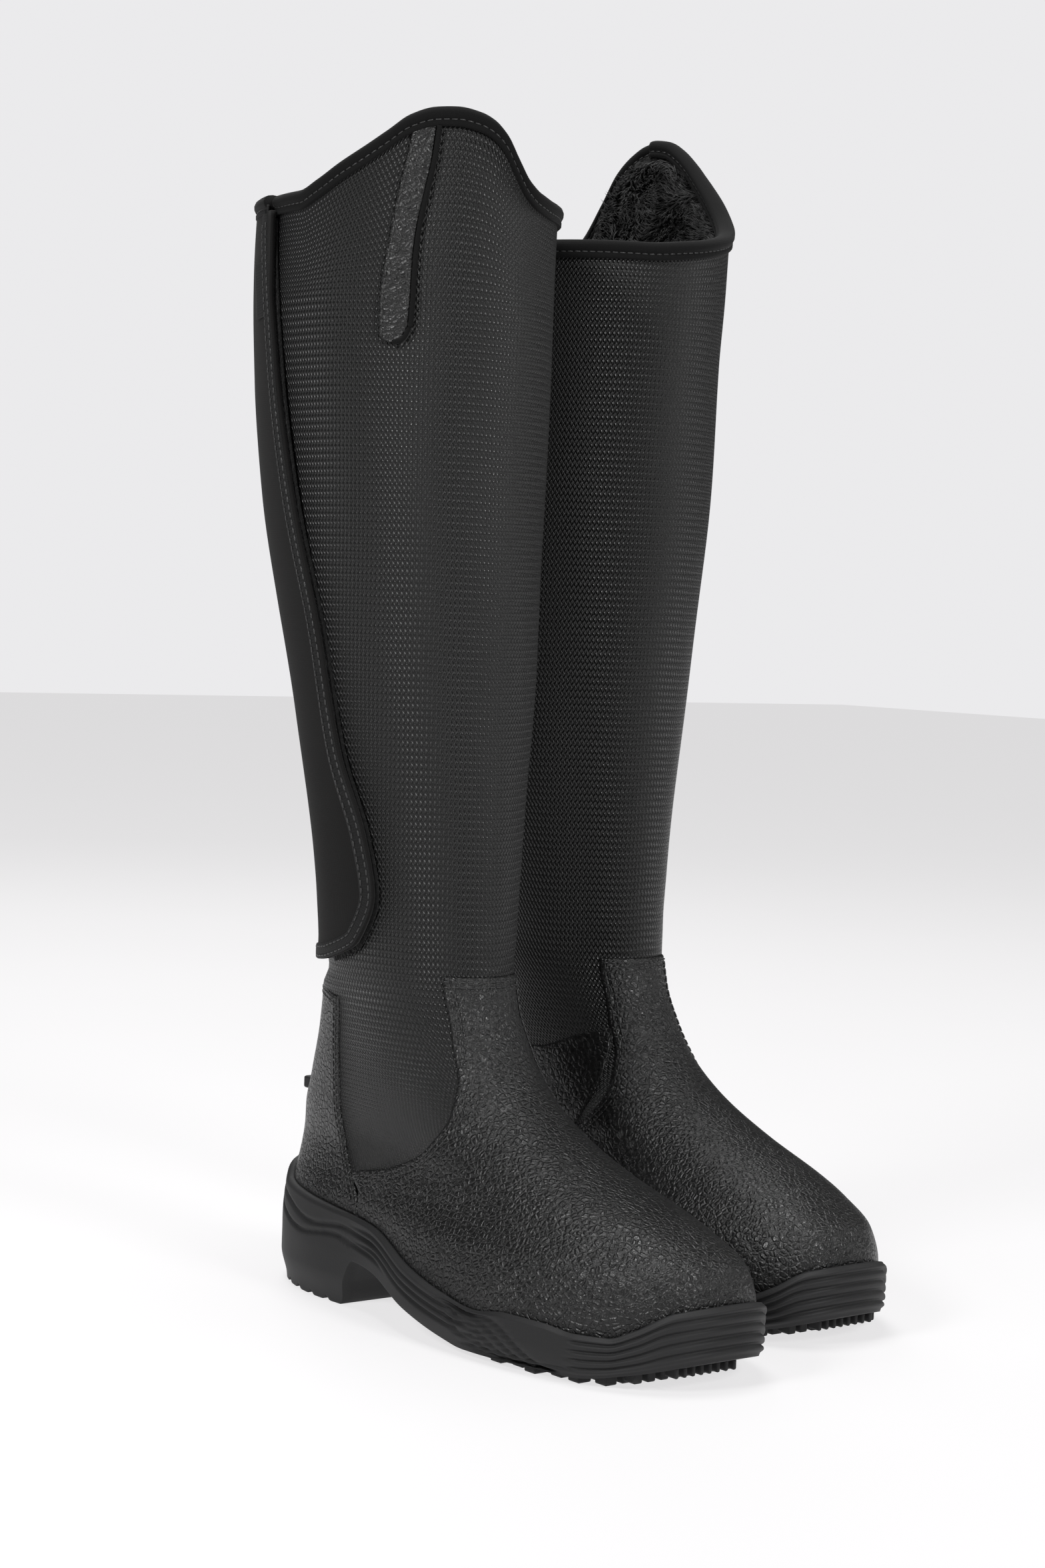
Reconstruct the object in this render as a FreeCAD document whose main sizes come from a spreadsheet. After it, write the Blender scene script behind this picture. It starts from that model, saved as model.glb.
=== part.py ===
# A pair of tall winter riding boots: pile-lined shafts in embossed cloth, leather feet on
# lugged rubber soles, and a neoprene calf flap that closes each shaft from behind.
#
# Frame: +X towards the toes, +Z up, the right boot at -Y and the left one at +Y. Millimetres.
# Every boot is drawn as a right boot and the left one is its mirror image, set a little back.
import FreeCAD, Part
import Sketcher
import math
import os
from FreeCAD import Rotation, Vector

doc = FreeCAD.newDocument("RidingBoots")

# ------------------------------------------------------------------ driving dimensions
SIZES = {
    "heel_to_origin": 113.4,     # from the back of the heel to the origin, along X
    "boot_spacing": 114.0,       # between the middles of the two boots
    "left_setback": 33.0,        # how far the left boot stands behind the right one
    "left_turn_out": 1.7,        # degrees that the left boot's toe points outwards
    "leather": 1.6,              # vamp, heel counter, ankle guard and shaft cloth
    "stiffener": 1.2,
    "foot_pile": 4.0,
    "shaft_pile": 6.4,
    "loop_thick": 0.8,
    "flap_gap": 0.3,             # air between the two halves of the hook-and-loop
    "hook_thick": 0.8,
    "neoprene": 2.3,
    "tape_thick": 0.8,
    "tape_width": 7.0,
    "flap_overlap": 18.0,        # how far the closed flap laps over the shaft
    "flap_seam_gap": 1.6,        # how far the flap's shell stops short of its back seam
    "binding_tall": 8.0,
    "binding_proud": 2.0,
    "sole_proud": 4.0,
    "sole_taper": 2.0,
    "board_thick": 2.5,
    "footbed_thick": 4.5,
    "shank_long": 92.0,
    "shank_wide": 14.0,
    "shank_thick": 1.6,
    "lug_long": 8.0,
    "lug_wide": 12.0,
    "lug_pitch": 12.0,
    "spur_rest_wide": 20.0,
    "spur_rest_tall": 6.0,
    "spur_rest_deep": 5.0,
    "spur_rest_height": 84.0,
    "rim_height": 486.0,         # the level part of the top edge
    "stripe_thick": 0.8,
    "piping_thick": 2.0,
    "label_thick": 0.6,
    "stripe_turn_left": 50.0,    # degrees that the left stripe sits further back
}
sheet = doc.addObject("Spreadsheet::Sheet", "Sizes")
for row, (word, value) in enumerate(SIZES.items(), start=1):
    sheet.set("A%d" % row, word)
    sheet.set("B%d" % row, str(value))
    sheet.setAlias("B%d" % row, word)
doc.recompute()


def size(word):
    return float(sheet.get(word))


# ------------------------------------------------------------------ the boot's own shape
def smooth(points):
    """A monotone cubic curve through (position, value) points, held level past both ends."""
    xs = [p[0] for p in points]
    ys = [p[1] for p in points]
    steps = [(ys[i + 1] - ys[i]) / (xs[i + 1] - xs[i]) for i in range(len(xs) - 1)]
    slopes = [0.0]
    for before, after in zip(steps, steps[1:]):
        slopes.append(0.0 if before * after <= 0 else 2 * before * after / (before + after))
    slopes.append(0.0)

    def curve(x):
        x = min(max(x, xs[0]), xs[-1])
        i = max(k for k in range(len(xs) - 1) if xs[k] <= x)
        span = xs[i + 1] - xs[i]
        u = (x - xs[i]) / span
        rise = ys[i + 1] - ys[i]
        return (ys[i] + rise * u * u * (3 - 2 * u)
                + span * u * (1 - u) * (slopes[i] * (1 - u) - slopes[i + 1] * u))

    return curve


# heights against distances from the back of the heel, or from the middle of the boot
FRONT = smooth([(17, 272), (34, 275), (46, 272), (56, 258), (63, 242), (75, 207), (91, 171.5),
                (105, 152), (120, 139), (138, 129), (160, 124), (216, 123), (300, 125),
                (400, 126), (560, 130)])
BACK = smooth([(19, 2), (38, 0), (58, -0.5), (77, 0), (96, 6.5), (120, 16), (160, 26), (200, 27),
               (264, 17), (312, 4), (360, -8), (409, -14), (457, -14), (505, -8), (560, -2)])
HALF_WIDTH = smooth([(19, 49), (43, 45), (58, 38), (72, 34), (91, 33), (120, 34), (156, 37),
                     (216, 43.5), (288, 51), (373, 58), (457, 60), (560, 61)])
WIDEST_AT = smooth([(19, 182), (58, 160), (86, 104), (116, 82), (150, 72), (560, 62)])
ROUNDNESS = smooth([(19, 2.5), (67, 2.3), (115, 2.0), (560, 2.0)])
BACK_ROUNDNESS = smooth([(24, 2.7), (46, 2.6), (84, 2.25), (560, 2.25)])
SHAFT_MIDDLE = 58.0              # X of the shaft's middle, from the back of the heel
SHAFT_LEAN = 9.0                 # how far the shaft's top stands outwards of the sole
TOE_SWING = 9.6                  # how far the toe points inwards
HEIGHTS = (8, 19, 34, 46, 56, 64, 74, 85, 96, 108, 122, 138, 160, 200, 264, 312, 360, 409,
           457, 505, 560)
AROUND = 36


def smoothstep(value, low, high):
    u = min(max((value - low) / (high - low), 0.0), 1.0)
    return u * u * (3 - 2 * u)


def place(x, outward, height):
    """A point of the right boot: x from the back of the heel, outward from its middle."""
    toe = min(max((x - 144) / 134, 0.0), 1.0) ** 2 * TOE_SWING
    lean = smoothstep(height, 130, 500) * SHAFT_LEAN
    if outward < 0:
        outward += 6 * math.exp(-((x - 115) / 38) ** 2) * (1 - smoothstep(height, 20, 86))
    outward *= 1 - 0.16 * math.exp(-((x - 92) / 34) ** 2) * (1 - smoothstep(height, 24, 62))
    outward += lean - toe
    return Vector(x - size("heel_to_origin"), -size("boot_spacing") / 2 - outward, height)


def closed_curve(points):
    """A smooth closed wire through points; evenly numbered, so that lofts between such wires
    share their knots."""
    curve = Part.BSplineCurve()
    numbers = [float(k) for k in range(len(points) + 1)]
    curve.interpolate(Points=points, PeriodicFlag=True, Parameters=numbers)
    return Part.Wire(curve.toShape())


def outline(height, inset, level=None):
    """The closed horizontal outline at a height, moved inwards by inset along the surface."""
    def slant(curve):
        return math.hypot(1, (curve(height + 1.5) - curve(height - 1.5)) / 3)

    front = FRONT(height) - inset * slant(FRONT)
    back = BACK(height) + inset * slant(BACK)
    half = HALF_WIDTH(height) - inset
    widest = min(WIDEST_AT(height), front - 18)
    points = []
    for step in range(AROUND):
        turn = 2 * math.pi * (step + 0.5) / AROUND
        c, s = math.cos(turn), math.sin(turn)
        power = 2 / (ROUNDNESS(height) if c > 0 else BACK_ROUNDNESS(height))
        reach = front - widest if c > 0 else widest - back
        x = widest + math.copysign(abs(c) ** power, c) * reach
        points.append(place(x, math.copysign(abs(s) ** power, s) * half,
                            height if level is None else level))
    return closed_curve(points)


MADE = {}


def form(inset):
    """The whole boot as one solid, inset from its outer surface."""
    if inset not in MADE:
        MADE[inset] = Part.makeLoft([outline(z, inset) for z in HEIGHTS], True, False)
    return MADE[inset]


def layer(outer, inner):
    """The wall between two insets, open at the sole and at the top."""
    if (outer, inner) not in MADE:
        outside, inside = form(outer), form(inner)
        side = [f for f in outside.Faces if f.BoundBox.ZLength > 1]
        side += [f.reversed() for f in inside.Faces if f.BoundBox.ZLength > 1]
        flat = [[f for f in solid.Faces if f.BoundBox.ZLength <= 1] for solid in (outside, inside)]
        for big, small in zip(*flat):
            ring = Part.Face([big.OuterWire, small.OuterWire])
            ring.validate()
            upward = big.BoundBox.ZMin > 100
            if (ring.normalAt(*ring.Surface.parameter(ring.CenterOfMass)).z > 0) != upward:
                ring.reverse()
            side.append(ring)
        wall = Part.makeSolid(Part.makeShell(side))
        MADE[(outer, inner)] = wall
    return MADE[(outer, inner)]


# ------------------------------------------------------------------ cutting regions
OUTER, INNER, BOTH = "outer half", "inner half", "both halves"
FAR = 160.0


def region(curve_points, corners, half=BOTH):
    """A side-view area, pushed through the outer half, the inner half or the whole boot.

    The area is bounded by a smooth curve through curve_points and straight lines on through
    corners. Points are (x from the back of the heel, height)."""
    flat = [Vector(x - size("heel_to_origin"), 0, z) for x, z in curve_points]
    curve = Part.BSplineCurve()
    curve.interpolate(flat)
    around = [flat[-1]] + [Vector(x - size("heel_to_origin"), 0, z) for x, z in corners] + [flat[0]]
    face = Part.Face(Part.Wire([curve.toShape()] + Part.makePolygon(around).Edges))
    middle = -size("boot_spacing") / 2
    low = middle if half == INNER else middle - FAR
    high = middle if half == OUTER else middle + FAR
    face.translate(Vector(0, low, 0))
    return face.extrude(Vector(0, high - low, 0))


def shifted(points, x_shift, z_shift=0.0):
    return [(x + x_shift, z + z_shift) for x, z in points]


FLOOR = [(-30, 34), (20, 34), (60, 33.5), (100, 27), (135, 19), (163, 14.5), (230, 14), (300, 20)]


def above_floor(rise):
    return region(shifted(FLOOR, 0, rise), [(300, 600), (-30, 600)])


def floor_slab(low, high):
    return above_floor(low).cut(above_floor(high))


# the top edge's rise above the rim height, by degrees from the outer side towards the front
RIM_ARCH = {
    "right": [(-180, 0), (-48, 0), (0, 0.5), (12, 4.5), (24, 11), (35, 17.5), (44, 24), (52, 30.5),
              (61, 34), (69, 34.6), (77, 33), (82, 30.5), (87, 25.5), (92.5, 16), (98.5, 7.5),
              (106, 3), (118, 0.8), (180, 0)],
    "left": [(-180, -4), (-80, -4), (-62, -2), (-54, 8), (-47, 26), (-41, 42), (-35, 50), (-28, 55),
             (-20, 57), (-12, 56), (-4, 52), (4, 46), (12, 38), (24, 27), (40, 14), (56, 5),
             (72, 0), (90, -4), (110, -6.5), (145, -6.5), (180, -4)],
}


def rim_ring(rise, side):
    """A ring-shaped face that follows one boot's top edge, raised by rise."""
    arch = smooth(RIM_ARCH[side])
    wires = []
    for radius in (10.0, 105.0):
        points = []
        for step in range(AROUND * 2):
            angle = -180 + 180 * step / AROUND
            toward = math.radians(angle)
            points.append(Vector(SHAFT_MIDDLE - size("heel_to_origin") + radius * math.sin(toward),
                                 -size("boot_spacing") / 2 - SHAFT_LEAN - radius * math.cos(toward),
                                 size("rim_height") + arch(angle) + rise))
        wires.append(closed_curve(points))
    return Part.makeRuledSurface(wires[0], wires[1])


def rim_band(low, high, side):
    return rim_ring(low, side).extrude(Vector(0, 0, high - low))


def turned(shape, degrees):
    """The shape turned backwards about the shaft's own middle line."""
    copy = shape.copy()
    middle = Vector(SHAFT_MIDDLE - size("heel_to_origin"), -size("boot_spacing") / 2 - SHAFT_LEAN, 0)
    copy.rotate(middle, Vector(0, 0, 1), -degrees)
    return copy


# seams, as (x from the back of the heel, height)
COUNTER_EDGE = [(58, 136), (56, 112), (56, 91), (63, 69), (75, 57), (84, 48), (88, 20)]
VAMP_EDGE = [(117, 151), (125, 124), (134, 105), (136, 93), (126, 77), (101, 65), (74, 58)]
FLAP_EDGE = [(37, 560), (37, 482), (44, 416), (56, 355), (69, 300), (76, 248), (87, 210),
             (90, 186), (80, 163), (58, 153), (34, 149)]
GUARD_TOP = [(40, 104), (88, 107), (121, 116), (160, 124)]
STRIPE_BACK = [(112, 560), (112, 521), (106, 478), (101, 435)]
STRIPE_FRONT = [(111, 431), (113, 466), (118, 506), (121, 560)]
WALL_TOP = [(-20, 56), (4, 52), (16, 46), (40, 44.5), (68, 43), (102, 40), (135, 30), (163, 24), (184, 21),
            (205, 23.5), (225, 23), (240, 21), (253, 21), (262, 25), (272, 33), (300, 40)]
TREAD_LINE = [(74, 0), (79, 11), (86, 21.5), (104, 21), (138, 14), (164, 7.5), (178, 4),
              (186, 0.6), (196, 0), (240, 0), (262, 4.5), (300, 16)]
GROOVE_FLOOR = [(176, 5), (200, 4.6), (240, 4.6), (262, 9), (300, 20.5)]


def flap_area(back_off, drop=0.0):
    """The rear area closed by the flap, its free edge moved backwards by back_off."""
    return region(shifted(FLAP_EDGE, -back_off, drop), [(-60, 149 + drop), (-60, 560)], OUTER)


def counter_area():
    return region(COUNTER_EDGE, [(-60, 20), (-60, 142), (30, 140)])


def vamp_area():
    edge = region(VAMP_EDGE, [(84, 40), (88, -20), (330, -20), (330, 151)])
    return edge.cut(counter_area())


def stripe_area(grow=0.0):
    back = shifted(STRIPE_BACK, -grow)
    front = shifted(STRIPE_FRONT, grow)
    low = [(102 - grow, 428 - grow), (106, 424 - grow), (110 + grow, 427 - grow)]
    return region(back + low + front, [], OUTER)


def everything_above(low_height):
    return Part.makeBox(600, 400, 600, Vector(-300, -260, low_height))


# ------------------------------------------------------------------ sub-parts of one boot
def sole_parts():
    """The rubber sole unit with its cupped top, tread blocks and a recess for the shank."""
    proud, taper = size("sole_proud"), size("sole_taper")
    rings = [outline(19, taper - proud, 0), outline(19, -proud, 12), outline(24, -proud),
             outline(34, -proud), outline(44, -proud), outline(54, -proud)]
    block = Part.makeLoft(rings, True, False)
    body = block.cut(region(WALL_TOP, [(300, 90), (-20, 90)]))
    body = body.cut(region(TREAD_LINE, [(300, -30), (74, -30)]))
    grooves = []
    pitch, long, wide = size("lug_pitch"), size("lug_long"), size("lug_wide")
    for column in range(8):
        start = place(180 + column * pitch + long, 0, -5)
        grooves.append(Part.makeBox(pitch - long, 140, 40, start - Vector(0, 70, 0)))
    for line in (-1.5, -0.5, 0.5, 1.5):
        start = place(180, line * (wide + 4) + 1.5, -5)
        grooves.append(Part.makeBox(90, 3, 40, start))
    below = region(GROOVE_FLOOR, [(300, -10), (176, -10)])
    for groove in grooves:
        body = body.cut(groove.common(below))
    body = body.cut(form(0).common(above_floor(0)))
    start = 62 - size("heel_to_origin")
    slot = Part.makeBox(size("shank_long"), size("shank_wide"), 80,
                        Vector(start, -(size("boot_spacing") + size("shank_wide")) / 2, 0))
    shank = floor_slab(-size("shank_thick"), 0).common(slot)
    body = body.cut(shank)
    biggest = max(body.Solids, key=lambda s: s.Volume)
    return {"sole_unit": biggest, "shank": shank}


def foot_parts():
    """Everything of the foot above the sole: board, footbed, stiffeners, leathers, lining."""
    leather = size("leather")
    board_top = size("board_thick")
    lining_out, lining_in = leather, leather + size("foot_pile")
    room = above_floor(board_top).cut(everything_above(151))
    puff_box = Part.makeBox(120, 300, 80, place(228, 120, 0))
    heel_box = Part.makeBox(120, 300, 92, place(-56, 120, 0))
    stiff = layer(lining_out, leather + size("stiffener")).common(room)
    parts = {
        "insole_board": form(leather).common(floor_slab(0, board_top)),
        "footbed": form(lining_in).common(floor_slab(board_top, board_top + size("footbed_thick"))),
        "toe_puff": stiff.common(puff_box),
        "heel_stiffener": stiff.common(heel_box),
    }
    lining = layer(lining_out, lining_in).common(room)
    parts["foot_lining"] = lining.cut(parts["toe_puff"]).cut(parts["heel_stiffener"])
    skin = layer(0, leather).common(above_floor(0))
    parts["vamp"] = skin.common(vamp_area())
    parts["heel_counter"] = skin.common(counter_area())
    rest = skin.cut(vamp_area()).cut(counter_area())
    guard = region(GUARD_TOP, [(160, -20), (40, -20)], INNER)
    parts["ankle_guard"] = rest.common(guard)
    parts["shaft_rest"] = rest.cut(guard)
    return parts


def shaft_parts(rest, side, turn):
    """The shaft's cloth, lining, loop strip, stripe with piping, and top binding."""
    leather, pile = size("leather"), size("shaft_pile")
    overlap = size("flap_overlap")
    rim = rim_band(-4, 200, side)
    window = flap_area(overlap, 6)
    loop = size("loop_thick")
    cloth = rest.cut(rim).cut(window)
    lining = layer(leather, leather + pile).common(everything_above(151)).cut(rim).cut(window)
    strip = layer(-loop, 0).common(flap_area(-1.5, -1.5)).cut(flap_area(overlap, 7)).cut(rim)
    stripe_cut = turned(stripe_area(), turn)
    piping_cut = turned(stripe_area(1.6).cut(stripe_area()).common(
        region([(109, 418), (112, 466), (117, 506), (119, 600)], [(200, 600), (200, 418)])), turn)
    edge = rim_band(-4, size("binding_tall") - 4, side)
    return {
        "shaft_cloth": cloth,
        "shaft_lining": lining,
        "loop_strip": strip,
        "top_stripe": layer(-size("stripe_thick"), 0).cut(rim).common(stripe_cut),
        "stripe_piping": layer(-size("piping_thick"), 0).cut(rim).common(piping_cut),
        "top_binding": layer(-size("binding_proud"), leather + pile + 1).common(edge)
        .cut(flap_area(-0.6)),
    }


def flap_parts(side):
    """The calf flap: neoprene panel, its lining, edge tape, hook strip, binding and label."""
    overlap = size("flap_overlap")
    hook_in = size("loop_thick") + size("flap_gap")
    skin_in = hook_in + size("hook_thick")
    skin_out = skin_in + size("neoprene")
    tape_out = skin_out + size("tape_thick")
    rim = rim_band(-4, 200, side)
    area = flap_area(0)
    inside_tape = flap_area(size("tape_width"), size("tape_width") - 1)
    window = flap_area(overlap + 1.2, 8.4)
    edge = rim_band(-4, size("binding_tall") - 4, side)
    label = region([(24, 438), (24, 446), (24, 462)], [(35, 462), (35, 438)], OUTER)
    pile_in = size("leather") + size("shaft_pile") - 1.4
    seam = Part.makeBox(500, 200, 700, Vector(-300, -size("boot_spacing") / 2
                                              - size("flap_seam_gap"), -50))
    shapes = {
        "calf_flap": layer(-skin_out, -skin_in).common(area).cut(rim),
        "flap_lining": layer(-skin_in, pile_in).common(window).cut(rim),
        "hook_strip": layer(-skin_in, -hook_in).common(area).cut(flap_area(overlap, 7.4)).cut(rim),
        "flap_tape": layer(-tape_out, -skin_out).common(area).cut(inside_tape).cut(rim),
        "flap_binding": layer(-tape_out, pile_in).common(edge).common(flap_area(0.6)),
        "label": layer(-tape_out - size("label_thick"), -tape_out).common(label),
    }
    return {name: shape.cut(seam) for name, shape in shapes.items()}


def spur_rest():
    """The small block on the back of the heel counter that a spur sits on."""
    body = doc.addObject("PartDesign::Body", "SpurRestBlock")
    sketch = body.newObject("Sketcher::SketchObject", "SpurRestSketch")
    plane = [f for f in body.Origin.OriginFeatures if f.Role == "YZ_Plane"][0]
    sketch.AttachmentSupport = [(plane, "")]
    sketch.MapMode = "FlatFace"
    corners = [Vector(0, 0, 0), Vector(20, 0, 0), Vector(20, 6, 0), Vector(0, 6, 0)]
    for first, second in zip(corners, corners[1:] + corners[:1]):
        sketch.addGeometry(Part.LineSegment(first, second), False)
    for k in range(4):
        sketch.addConstraint(Sketcher.Constraint("Coincident", k, 2, (k + 1) % 4, 1))
    for k, kind in enumerate(("Horizontal", "Vertical", "Horizontal", "Vertical")):
        sketch.addConstraint(Sketcher.Constraint(kind, k))
    sketch.addConstraint(Sketcher.Constraint("Coincident", 0, 1, -1, 1))
    across = sketch.addConstraint(Sketcher.Constraint("DistanceX", 0, 1, 0, 2, 20.0))
    upward = sketch.addConstraint(Sketcher.Constraint("DistanceY", 1, 1, 1, 2, 6.0))
    sketch.setExpression("Constraints[%d]" % across, "Sizes.spur_rest_wide")
    sketch.setExpression("Constraints[%d]" % upward, "Sizes.spur_rest_tall")
    pad = body.newObject("PartDesign::Pad", "SpurRestPad")
    pad.Profile = sketch
    pad.setExpression("Length", "Sizes.spur_rest_deep")
    doc.recompute()
    rounding = body.newObject("PartDesign::Fillet", "SpurRestRounding")
    rounding.Base = (pad, ["Edge%d" % (i + 1) for i, e in enumerate(pad.Shape.Edges)
                           if e.BoundBox.XLength < 0.01 and e.BoundBox.XMin < 0.01])
    rounding.Radius = 1.0
    body.Placement.Base = Vector(BACK(size("spur_rest_height")) - 3.6 - size("heel_to_origin"),
                                 -(size("boot_spacing") + size("spur_rest_wide")) / 2,
                                 size("spur_rest_height"))
    doc.recompute()
    return body


# ------------------------------------------------------------------ the document's sub-parts
def add_feature(name, shape, placement=None):
    feature = doc.addObject("Part::Feature", name)
    feature.Label = name
    feature.Shape = shape
    if placement is not None:
        feature.Placement = placement
    return feature


def tidy(shape):
    """One solid, or a compound of the solids that are worth keeping."""
    solids = [s for s in shape.Solids if s.Volume > 2.0]
    return solids[0] if len(solids) == 1 else Part.makeCompound(solids)


sole = sole_parts()
foot = foot_parts()
rest = foot.pop("shaft_rest")
block = spur_rest()
spur = block.Shape.cut(form(0))
subparts = []
for side, turn in (("right", 0.0), ("left", size("stripe_turn_left"))):
    made = dict(sole)
    made.update(foot)
    made["spur_rest"] = spur
    made.update(shaft_parts(rest, side, turn))
    made.update(flap_parts(side))
    for name, shape in made.items():
        shape = tidy(shape)
        if side == "right":
            subparts.append(add_feature(side + "_" + name, shape))
        else:
            shape = shape.mirror(Vector(0, 0, 0), Vector(0, 1, 0))
            heel = Vector(SHAFT_MIDDLE - size("heel_to_origin"), size("boot_spacing") / 2, 0)
            back = FreeCAD.Placement(Vector(-size("left_setback"), 0, 0),
                                     Rotation(Vector(0, 0, 1), size("left_turn_out")), heel)
            subparts.append(add_feature(side + "_" + name, shape, back))
doc.recompute()

# ------------------------------------------------------------------ checks and files
for item in doc.Objects:
    if "Invalid" in item.State or "Error" in item.State:
        raise RuntimeError("%s failed to rebuild: %s" % (item.Name, item.State))
for item in subparts:
    if item.Shape.isNull() or not item.Shape.isValid() or not item.Shape.Solids:
        raise RuntimeError("%s has no valid solid" % item.Label)
os.makedirs("parts", exist_ok=True)
for item in subparts:
    item.Shape.exportStep("parts/%s.step" % item.Label)
    box = item.Shape.BoundBox
    print("%-24s %9.1f mm3  %d solids  x %.1f %.1f  y %.1f %.1f  z %.1f %.1f" % (
        item.Label, item.Shape.Volume, len(item.Shape.Solids), box.XMin, box.XMax,
        box.YMin, box.YMax, box.ZMin, box.ZMax))
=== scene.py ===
"""Looks for a pair of tall pile-lined riding boots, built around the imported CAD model.

Sizes are in millimetres in this script and become metres where a mesh is made."""
import math

import bpy
import numpy as np
from mathutils import Matrix, Vector


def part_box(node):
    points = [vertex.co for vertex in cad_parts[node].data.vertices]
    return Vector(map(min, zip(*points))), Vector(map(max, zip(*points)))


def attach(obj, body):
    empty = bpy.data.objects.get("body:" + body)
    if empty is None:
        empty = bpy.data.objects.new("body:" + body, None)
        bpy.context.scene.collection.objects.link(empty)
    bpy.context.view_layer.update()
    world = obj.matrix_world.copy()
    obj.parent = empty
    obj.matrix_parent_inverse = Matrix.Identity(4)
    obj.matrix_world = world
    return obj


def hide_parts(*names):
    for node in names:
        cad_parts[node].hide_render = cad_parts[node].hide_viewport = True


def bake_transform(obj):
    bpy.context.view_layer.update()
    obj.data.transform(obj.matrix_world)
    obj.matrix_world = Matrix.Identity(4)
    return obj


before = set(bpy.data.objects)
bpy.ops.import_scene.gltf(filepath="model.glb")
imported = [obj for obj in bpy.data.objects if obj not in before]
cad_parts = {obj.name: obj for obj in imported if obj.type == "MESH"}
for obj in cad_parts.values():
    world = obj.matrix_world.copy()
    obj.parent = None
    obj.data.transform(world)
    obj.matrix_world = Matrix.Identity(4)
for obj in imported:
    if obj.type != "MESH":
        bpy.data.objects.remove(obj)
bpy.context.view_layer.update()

MM = 0.001

# ------------------------------------------------------------------ sizes shared with the frame
HEEL_TO_ORIGIN = 113.4
BOOT_SPACING = 114.0
LEFT_SETBACK = 33.0
LEFT_TURN_OUT = math.radians(1.7)
STRIPE_TURN = {"right": 0.0, "left": 50.0}
RIM_HEIGHT = 486.0
SHAFT_MIDDLE = 58.0
SHAFT_LEAN = 9.0
TOE_SWING = 9.6
FLAP_OVERLAP = 18.0
SOLE_PROUD = 4.0


def smooth(points):
    """A monotone cubic curve through (position, value) points, held level past both ends."""
    xs = np.array([p[0] for p in points], float)
    ys = np.array([p[1] for p in points], float)
    steps = np.diff(ys) / np.diff(xs)
    slopes = np.zeros(len(xs))
    before, after = steps[:-1], steps[1:]
    same = before * after > 0
    slopes[1:-1][same] = 2 * before[same] * after[same] / (before[same] + after[same])

    def curve(x):
        x = np.clip(np.asarray(x, float), xs[0], xs[-1])
        i = np.clip(np.searchsorted(xs, x, side="right") - 1, 0, len(xs) - 2)
        span = xs[i + 1] - xs[i]
        u = (x - xs[i]) / span
        rise = ys[i + 1] - ys[i]
        return (ys[i] + rise * u * u * (3 - 2 * u)
                + span * u * (1 - u) * (slopes[i] * (1 - u) - slopes[i + 1] * u))

    return curve


def smoothstep(value, low, high):
    u = np.clip((np.asarray(value, float) - low) / (high - low), 0.0, 1.0)
    return u * u * (3 - 2 * u)


FRONT = smooth([(17, 272), (34, 275), (46, 272), (56, 258), (63, 242), (75, 207), (91, 171.5),
                (105, 152), (120, 139), (138, 129), (160, 124), (216, 123), (300, 125),
                (400, 126), (560, 130)])
BACK = smooth([(19, 2), (38, 0), (58, -0.5), (77, 0), (96, 6.5), (120, 16), (160, 26), (200, 27),
               (264, 17), (312, 4), (360, -8), (409, -14), (457, -14), (505, -8), (560, -2)])
HALF_WIDTH = smooth([(19, 49), (43, 45), (58, 38), (72, 34), (91, 33), (120, 34), (156, 37),
                     (216, 43.5), (288, 51), (373, 58), (457, 60), (560, 61)])
WIDEST_AT = smooth([(19, 182), (58, 160), (86, 104), (116, 82), (150, 72), (560, 62)])
ROUNDNESS = smooth([(19, 2.5), (67, 2.3), (115, 2.0), (560, 2.0)])
BACK_ROUNDNESS = smooth([(24, 2.7), (46, 2.6), (84, 2.25), (560, 2.25)])
# how far the rim rises above its level part, by the angle in degrees round the shaft
RIM_ARCH = {
    "right": smooth([(-180, 0), (-48, 0), (0, 0.5), (12, 4.5), (24, 11), (35, 17.5), (44, 24),
                     (52, 30.5), (61, 34), (69, 34.6), (77, 33), (82, 30.5), (87, 25.5),
                     (92.5, 16), (98.5, 7.5), (106, 3), (118, 0.8), (180, 0)]),
    "left": smooth([(-180, -4), (-80, -4), (-62, -2), (-54, 8), (-47, 26), (-41, 42), (-35, 50),
                    (-28, 55), (-20, 57), (-12, 56), (-4, 52), (4, 46), (12, 38), (24, 27),
                    (40, 14), (56, 5), (72, 0), (90, -4), (110, -6.5), (145, -6.5), (180, -4)]),
}

# seams, as height against x from the back of the heel
COUNTER_EDGE = smooth([(20, 88), (48, 84), (57, 75), (69, 63), (91, 56), (112, 56), (136, 58)])
VAMP_EDGE = smooth([(20, 88), (48, 84), (58, 74), (65, 101), (77, 126), (93, 136), (105, 134),
                    (124, 125), (151, 117)])
FLAP_EDGE = smooth([(149, 34), (153, 58), (163, 80), (186, 90), (210, 87), (248, 76), (300, 69),
                    (355, 56), (416, 44), (482, 37), (560, 37)])
GUARD_TOP = smooth([(40, 104), (88, 107), (121, 116), (160, 124)])
COUNTER_TOP = smooth([(0, 142), (16, 141), (45, 138), (58, 136)])
WALL_TOP = smooth([(-20, 56), (4, 52), (16, 46), (40, 44.5), (68, 43), (102, 40), (135, 30), (163, 24),
                   (184, 21), (205, 23.5), (225, 23), (240, 21), (253, 21), (262, 25),
                   (272, 33), (300, 40)])
STRIPE_BACK = smooth([(428, 101), (435, 101), (478, 106), (521, 112), (560, 112)])
STRIPE_FRONT = smooth([(428, 110), (431, 111), (466, 113), (506, 118), (560, 121)])
LINING_FLOOR = smooth([(-30, 37), (20, 37), (60, 36.5), (100, 30), (135, 22), (163, 18), (230, 17),
                       (300, 23)])
FOOTBED_TOP = smooth([(-30, 41), (20, 40.5), (60, 40), (100, 33.5), (135, 25.5), (163, 21),
                      (230, 20.5), (300, 27)])
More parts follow.
